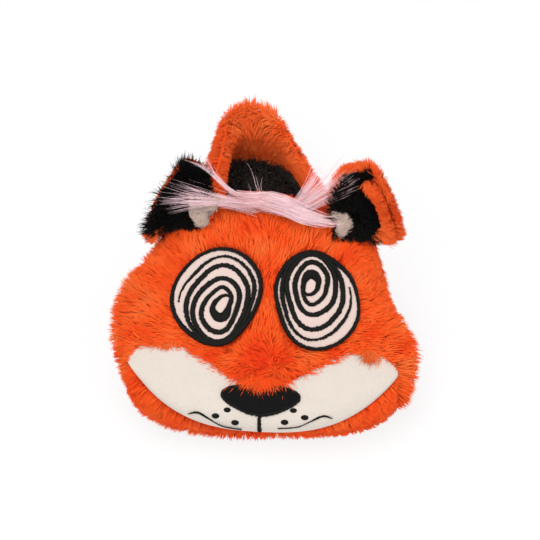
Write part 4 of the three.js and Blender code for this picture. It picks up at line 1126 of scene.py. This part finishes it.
def stitched(name, curve, width, length, low, height, seed, replaces=(), jag=0.22):
    """A ribbon of black thread on the face: stitches lie side by side across a padded strip, `low`
    to `low` plus `height` over the face. curve(s) gives (across, up) and width(s) the width; each
    stitch is a shallow ridge, and its ends are ragged by `jag`."""
    last = 2 * int(length / STITCH_PITCH)
    ragged = np.random.default_rng(seed).normal(0, jag, (2, last + 2))

    def place(u, v, side):
        step = 1e-4
        x, y = curve(u)
        x0, y0 = curve(np.maximum(u - step, 0))
        x1, y1 = curve(np.minimum(u + step, 1))
        dx, dy = x1 - x0, y1 - y0
        size = np.maximum(np.hypot(dx, dy), 1e-9)
        index = np.minimum((u * last).round().astype(int), last)
        ends = np.where(v < 0.5, ragged[0][index], ragged[1][index])
        off = (v - 0.5) * (width(u) + 2 * np.maximum(ends, -width(u) * 0.3))
        crown = np.maximum(1 - np.abs(2 * v - 1) ** 2.5, 0) ** 0.5
        out = low + ((height + STITCH_RIDGE * (index % 2)) * crown if side else -0.6)
        return face_at(x - dy / size * off, y + dx / size * off, out)

    dressed(layer(name, place, last, 6), "black thread", "black_thread", replaces)


class PLUSH_OT_eyes(bpy.types.Operator):
    """Make the eye patches with their stitched outlines and spirals"""

    bl_idname = "plush.eyes"
    bl_label = "Eyes"

    def execute(self, context):
        face = context.scene.plush_face
        widths, path = looped(OUTLINE_WIDTHS), spline(SPIRAL)

        def swirl_width(u):
            share, wide = path(u)[..., 0], path(u)[..., 1] * 1.12
            full = np.maximum(wide, np.minimum(wide * 1.45, 3.7))
            return mix(full, wide, ease(share, 0.72, 0.9)) * face.stitch_width

        for name, _ in SIDES:
            def patch(u, v, high):
                x, y = eye_spot(name, u, v, face)
                return face_at(x, y, 1.6 + 0.5 * (1 - v**4) if high else 0.2 + 0 * v)

            dressed(layer(f"eye_patch_piece_{name}", patch, 64, 14, ring=True), "eye plush",
                    "eye_plush", (f"eye_patch_{name}",), 0.4)
            stitched(f"eye_outline_piece_{name}", lambda u: eye_spot(name, u, 0.985, face),
                     lambda u: widths(u) * face.stitch_width, 205, 1.9, 1.3, 5,
                     (f"eye_outline_{name}",))

            def spiral(u):
                return eye_spot(name, u * (len(SPIRAL) - 1) / 8, path(u)[..., 0], face)

            stitched(f"eye_spiral_piece_{name}", spiral, swirl_width, 520, 2.2, 0.8, 6,
                     (f"eye_spiral_{name}",))
        return {"FINISHED"}


def nose_edge(turn, share, width):
    """A point of the nose on the pattern: turns run round it, and shares run from its middle (0) to
    its edge (1). Its top dips in the middle."""
    middle = mix(NOSE_TIP_UP, NOSE_TOP_UP, 0.62)
    sine = np.sin(turn * 2 * math.pi)
    above = sine > 0
    across = np.cos(turn * 2 * math.pi) * (1 - 0.3 * np.abs(np.minimum(sine, 0)) ** 1.5)
    reach = np.where(above, NOSE_TOP_UP - middle, middle - NOSE_TIP_UP)
    dip = 3.5 * bell(across, 0, 0.32) * above
    up = reach * np.sign(sine) * np.abs(sine) ** np.where(above, 0.8, 1.1) - dip
    return across * width / 2 * share, middle + up * share


class PLUSH_OT_nose(bpy.types.Operator):
    """Make the felt nose, the mouth lines and the whisker dots"""

    bl_idname = "plush.nose"
    bl_label = "Nose and mouth"

    def execute(self, context):
        face = context.scene.plush_face
        low = face.muzzle_puff - 0.1

        def pad(u, v, high):
            x, y = nose_edge(u, v, face.nose_width)
            puff = face.muzzle_puff * 0.9
            return face_at(x, y, puff + 2.6 * (1 - 0.8 * v**4) if high else puff - 2 + 0 * v)

        dressed(layer("nose_pad", pad, 72, 12, ring=True), "nose felt", "black_felt", ("nose",),
                0.6)
        stitched("nose_rim", lambda u: nose_edge(u, 0.96, face.nose_width), lambda u: 2.6 + 0 * u,
                 130, face.muzzle_puff, 1.3, 7)
        stitched("centre_line_piece",
                 lambda u: (0 * u, mix(NOSE_TIP_UP + 1.0, MUZZLE_SEAM_UP + 4.0, u)),
                 lambda u: 2.6 + 0 * u, 11, low, 0.8, 8, ("centre_line",))
        mouth = spline(MOUTH)
        for name, side in SIDES:
            raised, shift = MOUTH_SHIFT[name]

            def mouth_curve(u):
                across, up = mouth(u)[..., 0], mouth(u)[..., 1]
                return side * across + shift, up + raised

            stitched(f"mouth_line_piece_{name}", mouth_curve,
                     lambda u: 0.3 + 1.1 * np.sin(math.pi * np.minimum(u * 1.7, 1)), 42, low - 0.1,
                     0.4, 9, (f"mouth_line_{name}",), 0.1)
            for k, (across, up) in enumerate(WHISKER_DOTS, 1):
                def dot(u, v, high):
                    angle = u * 2 * math.pi
                    return face_at(side * across + shift + np.cos(angle) * 2.6 * v,
                                   up + raised + np.sin(angle) * 1.7 * v,
                                   low + (0.9 * (1 - v**3) if high else -0.8))

                dressed(layer(f"whisker_dot_piece_{name}_{k}", dot, 20, 4, ring=True),
                        "black thread", "black_thread", (f"whisker_dot_{name}_{k}",))
        return {"FINISHED"}


# The furs of the heel wall: how far round it and over it they reach, hairs a side and their
# segments, how deep the roots lie beyond the usual, length and how softly they are lit
HEEL_FURS = {
    "outer": {"round": 1.0, "over": (0.02, 1.0), "count": 9500, "rings": 2, "deeper": 1.5,
              "long": 1.0, "soft": 0.7},
    "inner": {"round": 0.95, "over": (0.97, RIM_TURN), "count": 12000, "rings": 3, "deeper": -3.5,
              "long": 1.45, "soft": 0.85},
}


def heel_fur(part, name, side, seed, fur):
    """One side's pile of the heel wall, outside or inside. It stands up on the wall's top and lies
    down on its flanks, and is longest at the peak."""
    job = HEEL_FURS[part]
    start, end = sorted((side * job["round"], 0.0))
    usual, sunk = fur.root_depth + 0.5, fur.root_depth + job["deeper"]

    def place(u, v):
        around = mix(start, end, u)
        return around, mix(*job["over"], v), ease(np.abs(around), 0.15, 0.35)

    def surface(u, v, out):
        around, turn, flank = place(u, v)
        sink = mix(sunk, usual, flank) if part == "inner" else sunk
        inset = mix(usual + 0.5, sink, ease(np.abs(turn - 1), 0, 0.25))
        inset = mix(inset, usual, ease(turn, 1.3, 1.7))
        return wall_raw(around + 1e-5, turn, inset - out)

    rng = np.random.default_rng(seed)
    root, normal, u, v = rooted(lambda u, v, out: settled(surface(u, v, out)), job["count"], rng,
                                lambda spots, u, v: outside_head(surface(u, v, 0.0)))
    around, turn, flank = place(u, v)
    crest, over = np.abs(turn - 1), ease(turn, 0.75, 1.0)
    aside = (swing(root[:, 1] + LENGTH / 2) - root[:, 0]) / 20
    flow = columns(over * aside, mix(0.5, -0.25, over), -1)
    length = fur.heel_length * job["long"] * mix(0.75, 1.0, ease(crest, 0, 0.3))
    length *= mix(1.0, 0.6, ease(turn, 1.45, 1.75)) * (1 - 0.5 * flank * ease(turn, 0.95, 1.15))
    length *= 1 + 0.35 * bell(around, 0.02, 0.12) * (turn < 1.25)
    stand = np.where(turn < 1, mix(0.4, 1.0, ease(crest, 0, 0.35)),
                     mix(0.4, 0.85, ease(crest, 0, 0.25)))
    shade = 0.5 + 0.2 * ripple(root, 24, 34) + 0.12 * ripple(root, 7, 37)
    lit = unit(mix(normal, UP_FRONT, 0.92 * ease(turn, 0.75, 0.97)[:, None]))
    # Painted light: pile over the wall's top and inside it is painted lighter, against the shade of
    # the heel's hollow
    grown(f"heel_fur_{part}_{name}", (root, normal), flow, length,
          shade + 0.25 * ease(turn, 0.8, 1.0), rng, lit, ruffle=(0.75, 1.12), speck=0.09,
          soft=job["soft"], rings=job["rings"], lean=(0.4, 0.9), droop=0.1, calm=stand, gather=0.35,
          clump=7.0)


class PLUSH_OT_heel(bpy.types.Operator):
    """Make the padded heel wall with its fur outside and inside"""

    bl_idname = "plush.heel"
    bl_label = "Heel wall"

    def execute(self, context):
        fur = context.scene.plush_fur

        def skin(u, v, side):
            inset = fur.root_depth + (0 if side else 2) + 0 * u
            return wall_at(mix(-1, 1, u) + 1e-4, v * 2, inset)

        nodes = [f"heel_{part}_{name}" for part in ("outer", "lining") for name, _ in SIDES]
        dressed(layer("heel_skin", skin, 96, 40), "orange backing", "orange_fur", nodes, 0.7)
        jobs = [(part, *side) for part in HEEL_FURS for side in SIDES]
        for seed, (part, name, side) in enumerate(jobs, 40):
            heel_fur(part, name, side, seed, fur)
        return {"FINISHED"}


def ear_dark(name, rise):
    """How far across an ear its black front reaches."""
    return mix(*EAR_DARK[name], ease(rise, 0.05, 0.32))


def ear_whole(name, u, v):
    return mix(-1, 1, u), v


def ear_front(name, u, v):
    """Where the black front lies on an ear, as across and rise. Its inner side hangs lowest."""
    low = -0.9 * ease((1 - u) * (ear_dark(name, 0.0) - EAR_INNER), 0.0, 1.2)
    rise = mix(low, 0.97, v)
    dark = ear_dark(name, rise)
    return mix(EAR_INNER, dark + 0.06 * (dark < 0.9), u), rise


def ear_root_edges(name, rise):
    """Where the cream root begins and ends across an ear."""
    bottom, top = EAR_ROOT[name]
    share = ease(rise, *ROOT_RISE[name])
    return [mix(low, high, share) for low, high in zip(bottom, top)]


def ear_root(name, u, v):
    rise = mix(*ROOT_RISE[name], v)
    return mix(*ear_root_edges(name, rise), u), rise


def ear_sheet(name, place, height, swell, way=1):
    """A surface over an ear, `height` plus `swell` times its fullness off its core."""
    def surface(u, v, out=0.0):
        across, rise = place(name, u, v)
        full = ear_full(across, np.maximum(rise, 0))
        return ear_at(name, across, rise, height + swell * full + way * out)
    return surface


# The skins of an ear: its place, the height and swell of its two faces, the steps of its grid, its
# finish and slot, and its fill
EAR_SKINS = {
    "back": (ear_whole, (-1.2, 0.0), (-1.2, -2.5), (32, 32), "orange backing", "orange_fur", 0.6),
    "front": (ear_front, (-0.6, 2.4), (-0.3, 4.4), (32, 40), "black backing", "black_fur", 0.6),
    "patch": (ear_root, (0.6, 3.0), (2.4, 3.0), (16, 24), "cream backing", "cream_plush", 0.4),
}


def ear_edge(across, rise, wide, tall):
    """0 in the middle of an ear and 1 at its edge."""
    return np.maximum(ease(np.abs(across), *wide), ease(rise, *tall))


class Ear:
    """What the pieces of one ear share."""

    def __init__(self, name, side):
        self.name, self.side = name, side
        self.rng = np.random.default_rng(60 + side)
        self.up, self.out = (way * [side, 1, 1] for way in (ear_rise[name], ear_along))
        self.light = unit(np.array([0.15 * side, -0.62, 0.77]))  # normals lean to it
        self.bend = (ear_at(name, 0.0, -0.45, 0.0), ear_at(name, 0.0, 0.0, 0.0) + 7.0 * self.up)

    def skin(self, part):
        place, low, high, steps, finish, slot, fill = EAR_SKINS[part]
        faces = [ear_sheet(self.name, place, *face) for face in (low, high)]
        piece = layer(f"ear_{part}_skin_{self.name}", lambda u, v, side: faces[side](u, v), *steps)
        dressed(piece, finish, slot, (f"ear_{part}_{self.name}",), fill, f"ear_{self.name}",
                None if part == "back" else self.bend)

    def wadding(self):
        def place(u, v, high):
            across, rise = mix(-0.85, 0.85, u), mix(0.06, 0.86, v)
            thick = ear_full(across, rise)
            for way in (u, v):
                thick = thick * (1 - np.abs(2 * way - 1) ** 4)
            return ear_at(self.name, across, rise, -0.6 + mix(-0.5, 1.6, high) * thick)

        dressed(layer(f"ear_wadding_piece_{self.name}", place, 20, 16), "fibre", "fibre",
                (f"ear_wadding_{self.name}",), 0.6, f"ear_{self.name}")

    def grow(self, part, roots, flow, length, shade, lit=None, **rest):
        grown(f"ear_{part}_{self.name}", roots, flow, length, shade, self.rng, lit,
              body=f"ear_{self.name}", **rest)

    def back_fur(self):
        """Orange pile, combed up and out. The left ear's is short, as its tip is pressed."""
        root, normal, u, v = rooted(ear_sheet(self.name, ear_whole, -0.8, -3.0, -1), 8000,
                                    self.rng)
        across = mix(-1, 1, u)
        flow = self.up * (0.35 + v[:, None]) + self.out * across[:, None] * 1.3
        length = mix(9.0, 13.5, ear_edge(across, v, (0.5, 1.0), (0.7, 1.0)))
        length *= 1 - (0.6 * ease(v, 0.12, 0.3) if self.side < 0 else 0.05)
        length *= mix(0.6, 1.0, ease(v, 0.0, 0.35))
        edge = ear_edge(across, v, (0.7, 0.95), (0.8, 1.0))
        self.grow("back_fur", (root, normal), flow, length, 0.65 + 0.15 * ripple(root, 18, 35),
                  unit(mix(normal, self.light, 0.75 * edge[:, None])), ruffle=(0.7, 1.15),
                  speck=0.2, thin=(0.7, 1.1), lean=(0.5, 0.95))

    def fringe(self):
        """The orange pile that shows in front, beside the black."""
        def surface(u, v, out):
            across = mix(ear_dark(self.name, v) - 0.1, 1.0, u)
            out = out + 0.4 + 2.0 * ear_full(across, v)
            return ear_at(self.name, across, mix(0.0, 0.98, v), out)

        root, normal, u, v = rooted(surface, 4800, self.rng,
                                    lambda spots, u, v: ear_dark(self.name, v) < 0.93)
        flow = self.up * (0.25 + v[:, None]) + self.out
        length = (17.0 if self.side > 0 else 11.0) * mix(0.4, 1.0, ease(v, 0.0, 0.45))
        self.grow("fringe", (root, normal), flow, length, 0.85 + 0.4 * ripple(root, 4.5, 39),
                  unit(mix(normal, self.light, 0.75)), ruffle=(0.5, 1.15), speck=0.15,
                  thin=(0.5, 0.95), soft=0.5, lean=(0.15, 0.85), wander=0.3, clump=6.0, gather=0.75)

    def front_fur(self):
        """Black pile round the cream root. Above the base it is combed up and out, and below it,
        where it lies on the head, down."""
        def allowed(spots, u, v):
            across, rise = ear_front(self.name, u, v)
            start, end = ear_root_edges(self.name, rise)
            return ~((across > start) & (across < end) & (rise < ROOT_RISE[self.name][1]))

        root, normal, u, v = rooted(ear_sheet(self.name, ear_front, -0.4, 4.2), 7000,
                                    self.rng, allowed)
        across, rise = ear_front(self.name, u, v)
        right = self.side > 0
        tips = ease(across, 0.1, 0.5)
        flow = self.up * (0.1 + np.maximum(rise, 0)[:, None] * 1.1)
        flow = flow + self.out * (across * 0.9 + 0.3)[:, None]
        down = columns((0.25 + 0.8 * tips) * self.side, -0.5 + 0.1 * tips, -0.6 - 0.4 * tips)
        flow = mix(flow, down, ease(-rise, -0.25, 0.1)[:, None])
        edge = ear_edge(across, v, (0.5, 0.95), (0.7, 1.0))
        length = mix(8.0, 15.0 if right else 12.5, edge)
        length *= 1 + (-0.4 if right else 0.35) * ease(rise, 0.5, 0.7)
        length *= np.maximum(mix(0.65, 1.0, ease(rise, -0.3, 0.2)),
                             (1.4 if right else 1.0) * ease(across, 0.15, 0.5) * (rise < 0.2))
        self.grow("front_fur", (root, normal), flow, length, 0.3, finish="black fur",
                  slot="black_fur", bend=self.bend, ruffle=(0.55, 1.3), speck=0.2, hair=0.55,
                  thin=(0.6, 1.2), lean=(0.4, 0.92), wander=0.42)

    def patch_fur(self):
        root, normal, _, _ = rooted(ear_sheet(self.name, ear_root, 2.2, 3.0), 3400, self.rng)
        self.grow("patch_fur", (root, normal), self.up + 0.5 * self.out, 8.0,
                  0.45 + 0.25 * ripple(root, 9, 38), unit(mix(normal, self.light, 0.5)),
                  finish="cream plush", slot="cream_plush", bend=self.bend, ruffle=(0.5, 1.2),
                  speck=0.3, hair=0.42, thin=(0.7, 1.2), soft=0.5, lean=(0.4, 0.9), clump=4.0,
                  wander=0.4)


class PLUSH_OT_ears(bpy.types.Operator):
    """Make the ears: orange behind, black in front, with a cream root"""

    bl_idname = "plush.ears"
    bl_label = "Ears"

    def execute(self, context):
        for name, side in SIDES:
            ear = Ear(name, side)
            ear.skin("back")
            ear.wadding()
            ear.skin("front")
            ear.back_fur()
            ear.fringe()
            ear.front_fur()
            ear.skin("patch")
            ear.patch_fur()
        return {"FINISHED"}


# The forelock's bundles: how many hairs, the spread at the root, middle and end, and the points
# that a bundle's middle runs through, in mm
BUNDLES = {
    "left": (
        (22, (3.5, 1.6, 2.2), ((-5.7, -9.5, 116.2), (-21.8, -2.8, 117.5), (-34.8, -3.4, 131.5),
                                (-46.5, -2.6, 146.3), (-59.4, -2.8, 153.6))),
        (18, (3.0, 1.4, 1.8), ((-10.2, -9.5, 115.9), (-25.4, 0.1, 117), (-38.3, -3.0, 137.0),
                               (-45.7, 0.6, 153.8))),
        (7, (3.0, 7.0, 13.0), ((-4, -9, 117), (-10, 0, 124), (-14, 9, 132))),
        (44, (4.0, 3.4, 8.0), ((-8.7, -11.2, 115.6), (-24.2, -8.0, 117.7), (-46.3, -9.0, 124.7),
                                (-72.9, -11.1, 134.5))),
        (40, (3.5, 3.4, 8.0), ((-12.7, -8.0, 116.4), (-27.8, -10.0, 119.2), (-47.6, -11.0, 120.9),
                                (-75.3, -16.4, 120.4))),
        (40, (4.0, 3.6, 8.0), ((-16.7, -8.4, 116.0), (-30.9, -8.6, 118.6), (-47, -9.8, 122.5),
                                (-69.0, -13.0, 126.5))),
    ),
    "right": (
        (32, (3.5, 2.4, 4.5), ((9.2, -10.2, 115.8), (18.3, -1.7, 115.6), (27.4, 3.5, 130.1),
                               (33.8, 8.6, 147.2))),
        (60, (4.0, 3.4, 8.5), ((10.7, -11.5, 115.4), (21.8, -3.9, 115.2), (38, 1.7, 130.6),
                                (53.8, 5.7, 149.5))),
        (52, (4.0, 3.2, 7.0), ((12.2, -12.9, 114.9), (24.4, -7.1, 114.6), (41.8, -1.7, 123.3),
                                (59.3, 0.3, 137.6))),
        (130, (4.0, 2.2, 3.0), ((-5.7, -7.8, 116.5), (10.2, -12.5, 116.1), (24.4, -16.4, 113.4),
                                (50.1, -14, 107.6))),
    ),
}
BUN = ((-27, -1.2, 114.4), (-14.7, -4.9, 116.9), (-3.6, -4.8, 118.1), (9.1, -8.2, 117.1),
       (20.7, -13.3, 114.8), (38, -14.8, 110.4))


def bundle(points, spread, count, rng, steps=11, wave=1.1):
    """Hairs that run along a smooth curve through the points, each at its own distance from it,
    which widens from root to middle to end, and each with a slow wave and a length of its own."""
    s = np.linspace(0, 1, steps)
    middle = spline(points)(s)
    width = np.interp(s, [0, 0.5, 1], spread)[:, None]
    way = s[:, None]
    own = rng.normal(size=(count, 1, 3)) * 0.5
    drift = rng.normal(size=(count, 1, 3)) * 0.35 * way
    phase = rng.uniform(0, 2 * math.pi, (count, 1, 3))
    waves = np.sin(way * rng.uniform(3, 9, (count, 1, 1)) + phase) - np.sin(phase)
    line = middle + (own + drift) * width + waves * wave * way
    at = np.clip(s * rng.uniform(0.72, 1.08, (count, 1)) * (steps - 1), 0, steps - 1 - 1e-6)
    i, rows = at.astype(int), np.arange(count)[:, None]
    return mix(line[rows, i], line[rows, i + 1], (at - i)[..., None])


def pink_hair(name, line, speck, width, rng, **bent):
    """A lock of the forelock, lit as if it faced up and to the front."""
    shade = 0.6 + rng.normal(0, speck, len(line))
    normal = np.tile(UP_FRONT, (len(line), 1))
    dressed(strands(name, line, rng.uniform(*width, len(line)), shade, normal, 0.55), "pink hair",
            "pink_hair", **bent)


class PLUSH_OT_forelock(bpy.types.Operator):
    """Make the long pink hair between the ears"""

    bl_idname = "plush.forelock"
    bl_label = "Forelock"

    def execute(self, context):
        def strip(u, v, side):
            t = FORELOCK_T + mix(-7.0 / PROFILE_LENGTH, 0.0, v)
            crest = 2.0 * np.sin(math.pi * v) * np.sin(math.pi * u) ** 0.5
            return head_at(sweep_angle(mix(-19.5, 19.5, u)), t,
                           1.0 + crest if side else 0.2 + 0 * u)

        dressed(layer("forelock_root", strip, 32, 10), "pink backing", "pink_hair",
                ("forelock_strip", "forelock_lock_left", "forelock_lock_right"))
        for name, side in SIDES:
            rng = np.random.default_rng(80 + side)
            line = np.concatenate([bundle(points, spread, count, rng)
                                   for count, spread, points in BUNDLES[name]])
            pink_hair(f"forelock_hair_{name}", line, 0.16, (0.22, 0.36), rng, body=f"ear_{name}",
                      bend=((side * 28.0, -4.0, 112.0), (side * 44.0, -3.0, 120.0)))
        rng = np.random.default_rng(90)
        line = bundle(BUN, (4.0, 4.2, 2.5), 560, rng, steps=9, wave=0.9)
        ground = np.interp(np.linspace(0, 1, line.shape[1]), [0, 0.5, 1], [111, 113, 107])
        line[..., 2] = np.maximum(line[..., 2], ground)
        pink_hair("forelock_hair_middle", line, 0.15, (0.35, 0.6), rng)
        return {"FINISHED"}


class PLUSH_OT_insole(bpy.types.Operator):
    """Make the insole with its charcoal pile, and the lining of the toe pocket"""

    bl_idname = "plush.insole"
    bl_label = "Insole"

    def execute(self, context):
        edge = spline(INSOLE_EDGE)

        def pad(u, v, high):
            spot = edge(u)
            half = np.maximum(spot[..., 0] - 2.8, 0)
            back = mix(60.0, 255.0, (spot[..., 1] - 56) / 202)
            across = (v - 0.5) * 2
            level = 20.2 + 1.2 * (1 - across**2) if high else INSOLE_BASE + 0.3
            return columns(swing(back) + half * across, back - LENGTH / 2, level)

        def surface(u, v, out):
            return pad(mix(0.3, 1.0, u), v, True) + columns(0 * u, 0, out)

        def rim(u, v, out):
            return wall_at(mix(-0.9, 0.9, u) + 1e-5, mix(RIM_TURN, 1.99, v), 2.5 - out)

        def sock(u, v, side):
            """The pocket's lining: a half dome at the toe, then an arch up to its mouth."""
            grow = 0.0 if side else -2.0
            turn = np.minimum(u / 0.45, 1) * (math.pi / 2)
            tail = np.maximum((u - 0.45) / 0.55, 0)
            length = POCKET["full"] - POCKET["toe"] + grow
            back = np.where(u < 0.45, POCKET["full"] - length * np.cos(turn),
                            mix(POCKET["full"], POCKET["mouth"], tail))
            full = np.sin(turn) ** 0.75
            height = mix(POCKET["low"], POCKET["high"], tail)
            cosine, sine = np.cos(math.pi * v), np.sin(math.pi * v)
            x = np.sign(cosine) * np.abs(cosine) ** 0.75 * (POCKET["half"] + grow) * full
            z = (height + grow) * full * sine ** 0.75
            return columns(x, back - LENGTH / 2, INSOLE_BASE + 0.2 + z)

        dressed(layer("insole", pad, 96, 24), "black backing", "charcoal_plush", ("insole_pad",),
                0.6)
        dressed(layer("insole_rim", lambda u, v, side: rim(u, v, 0.0 if side else -1.5), 96, 6),
                "black backing", "charcoal_plush")
        rng = np.random.default_rng(50)
        parts = [rooted(place, count, rng)[:2] for place, count in ((surface, 11000), (rim, 4500))]
        root, normal = (np.concatenate(part) for part in zip(*parts))
        flow = columns(0.3 * ripple(root, 25, 51), -1, 0.5 * ripple(root, 20, 52))
        grown("insole_pile", (root, normal), flow, 5.5, 0.35 + 0.15 * ripple(root, 18, 53), rng,
              unit(mix(normal, UP_FRONT, 0.5)), "charcoal plush", "charcoal_plush",
              ruffle=(0.6, 1.2), speck=0.2, hair=0.65, thin=(0.8, 1.2), rings=2, lean=(0.2, 0.6),
              clump=3.0, gather=0.4)
        dressed(layer("toe_sock", sock, 40, 40), "lining", "lining", ("toe_lining",))
        return {"FINISHED"}


def pressed_copy(node):
    """A copy of a soft solid, laid down like the skin around it."""
    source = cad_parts[node]
    mesh = source.data.copy()
    mesh.transform(source.matrix_world)
    spots = np.empty(len(mesh.vertices) * 3, np.float32)
    mesh.vertices.foreach_get("co", spots)
    spots = settled(spots.reshape(-1, 3) / MM) * MM
    mesh.vertices.foreach_set("co", spots.astype(np.float32).ravel())
    mesh.materials.clear()
    mesh.update()
    return linked(f"{node}_pressed", mesh)


class PLUSH_OT_inner(bpy.types.Operator):
    """Finish the sole, the foam, the stuffing and the squeaker"""

    bl_idname = "plush.inner"
    bl_label = "Sole and filling"

    def execute(self, context):
        for node, finish in (("outsole", "canvas"), ("midsole_foam", "foam"),
                             ("squeaker_bulb", "vinyl"), ("squeaker_reed", "vinyl")):
            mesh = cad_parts[node].data
            mesh.materials.clear()
            mesh.materials.append(finish_named(finish))
        for node, finish, slot, fill in (
                ("head_stuffing_left", "fibre", "fibre", 0.8),
                ("head_stuffing_right", "fibre", "fibre", 0.8),
                ("heel_foam", "foam", "foam", 0.8),
                ("ear_seam_left", "orange backing", "seam_tape", None),
                ("ear_seam_right", "orange backing", "seam_tape", None)):
            dressed(pressed_copy(node), finish, slot, (node,), fill)
        return {"FINISHED"}


def aim(holder, target):
    """Turns a camera or lamp towards a target, level with the floor."""
    way = target - np.array(holder.location)
    flat = math.hypot(way[0], way[1])
    holder.rotation_euler = (math.atan2(flat, -way[2]), 0.0, math.atan2(-way[0], way[1]))


# The lamps: name, place and size in m, share of the lamp power
LAMPS = (
    ("key", (-0.35, -0.95, 1.25), 0.9, 0.9),
    ("fill", (0.9, -0.4, 0.8), 1.2, 0.3),
    ("top", (-0.2, -0.05, 1.4), 0.8, 0.75),
)


class PLUSH_OT_stage(bpy.types.Operator):
    """Set up the floor, the lamps, the world and the camera"""

    bl_idname = "plush.stage"
    bl_label = "Stage"

    def execute(self, context):
        stage, scene = context.scene.plush_stage, context.scene
        corners = np.array([(-1, -1, 0), (1, -1, 0), (1, 1, 0), (-1, 1, 0)]) * 4e3
        floor = mesh_piece("floor", corners - [0, 0, 0.05], np.array([[0, 1, 2, 3]]))
        finish = Finish("pale floor")
        finish.set(Base_Color=(0.9, 0.9, 0.9, 1), Roughness=0.9)
        sight = finish.node("ShaderNodeLightPath")
        glow = finish.node("ShaderNodeEmission", None, {0: (1, 1, 1, 1), 1: 1.0})
        seen = finish.node("ShaderNodeMixShader", None, {
            0: sight * 0.8, 1: Term(finish, finish.shader.outputs[0]), 2: glow})
        finish.join(finish.tree.nodes["Material Output"].inputs[0], seen)
        floor.data.materials.append(finish.material)

        # The camera sees the world white, and its light is weaker
        world = bpy.data.worlds.new("even light")
        world.use_nodes = True
        scene.world = world
        nodes = Nodes(world.node_tree)
        sight = nodes.node("ShaderNodeLightPath")
        even, white = (nodes.node("ShaderNodeBackground", None, {0: (1, 1, 1, 1), 1: strength})
                       for strength in (stage.world_light, 1.0))
        both = nodes.node("ShaderNodeMixShader", None, {0: sight, 1: even, 2: white})
        nodes.join(nodes.tree.nodes["World Output"].inputs[0], both)

        middle = np.array([0, 0, 0.055])
        for name, place, size, share in LAMPS:
            lamp = bpy.data.lights.new(name, "AREA")
            lamp.size, lamp.energy = size, stage.lamp_power * share
            holder = linked(name, lamp)
            holder.location = place
            aim(holder, middle)

        camera = bpy.data.cameras.new("camera")
        camera.lens, camera.sensor_width = 90.0, 36.0
        camera.shift_x, camera.shift_y = -0.0028, -0.0315
        holder = linked("camera", camera)
        flat = math.cos(stage.height)
        away = np.array([math.sin(stage.turn) * flat, -math.cos(stage.turn) * flat,
                         math.sin(stage.height)])
        holder.location = middle + away * stage.distance
        aim(holder, middle)
        scene.camera = holder
        scene.view_settings.view_transform = "Standard"
        return {"FINISHED"}


OPERATORS = (
    PLUSH_OT_stage, PLUSH_OT_head_skin, PLUSH_OT_head_fur, PLUSH_OT_muzzle, PLUSH_OT_eyes,
    PLUSH_OT_nose, PLUSH_OT_heel, PLUSH_OT_ears, PLUSH_OT_forelock, PLUSH_OT_insole,
    PLUSH_OT_inner,
)


class PLUSH_PT_panel(bpy.types.Panel):
    """Lists the settings and the pieces"""

    bl_idname = "PLUSH_PT_panel"
    bl_label = "Plush fox"
    bl_space_type = "VIEW_3D"
    bl_region_type = "UI"
    bl_category = "Plush fox"

    def draw(self, context):
        for group, _ in GROUPS:
            settings = getattr(context.scene, group)
            box = self.layout.box()
            for key in settings.__annotations__:
                box.prop(settings, key)
        for operator in OPERATORS:
            self.layout.operator(operator.bl_idname)


GROUPS = (
    ("plush_fur", FurSettings), ("plush_face", FaceSettings), ("plush_stage", StageSettings),
)


def register():
    for name, group in GROUPS:
        bpy.utils.register_class(group)
        setattr(bpy.types.Scene, name, bpy.props.PointerProperty(type=group))
    for kind in (*OPERATORS, PLUSH_PT_panel):
        bpy.utils.register_class(kind)


def unregister():
    for kind in (PLUSH_PT_panel, *reversed(OPERATORS)):
        bpy.utils.unregister_class(kind)
    for name, group in reversed(GROUPS):
        delattr(bpy.types.Scene, name)
        bpy.utils.unregister_class(group)


def main():
    register()
    for operator in OPERATORS:
        family, action = operator.bl_idname.split(".")
        getattr(getattr(bpy.ops, family), action)()
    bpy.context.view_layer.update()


if __name__ == "__main__":
    main()
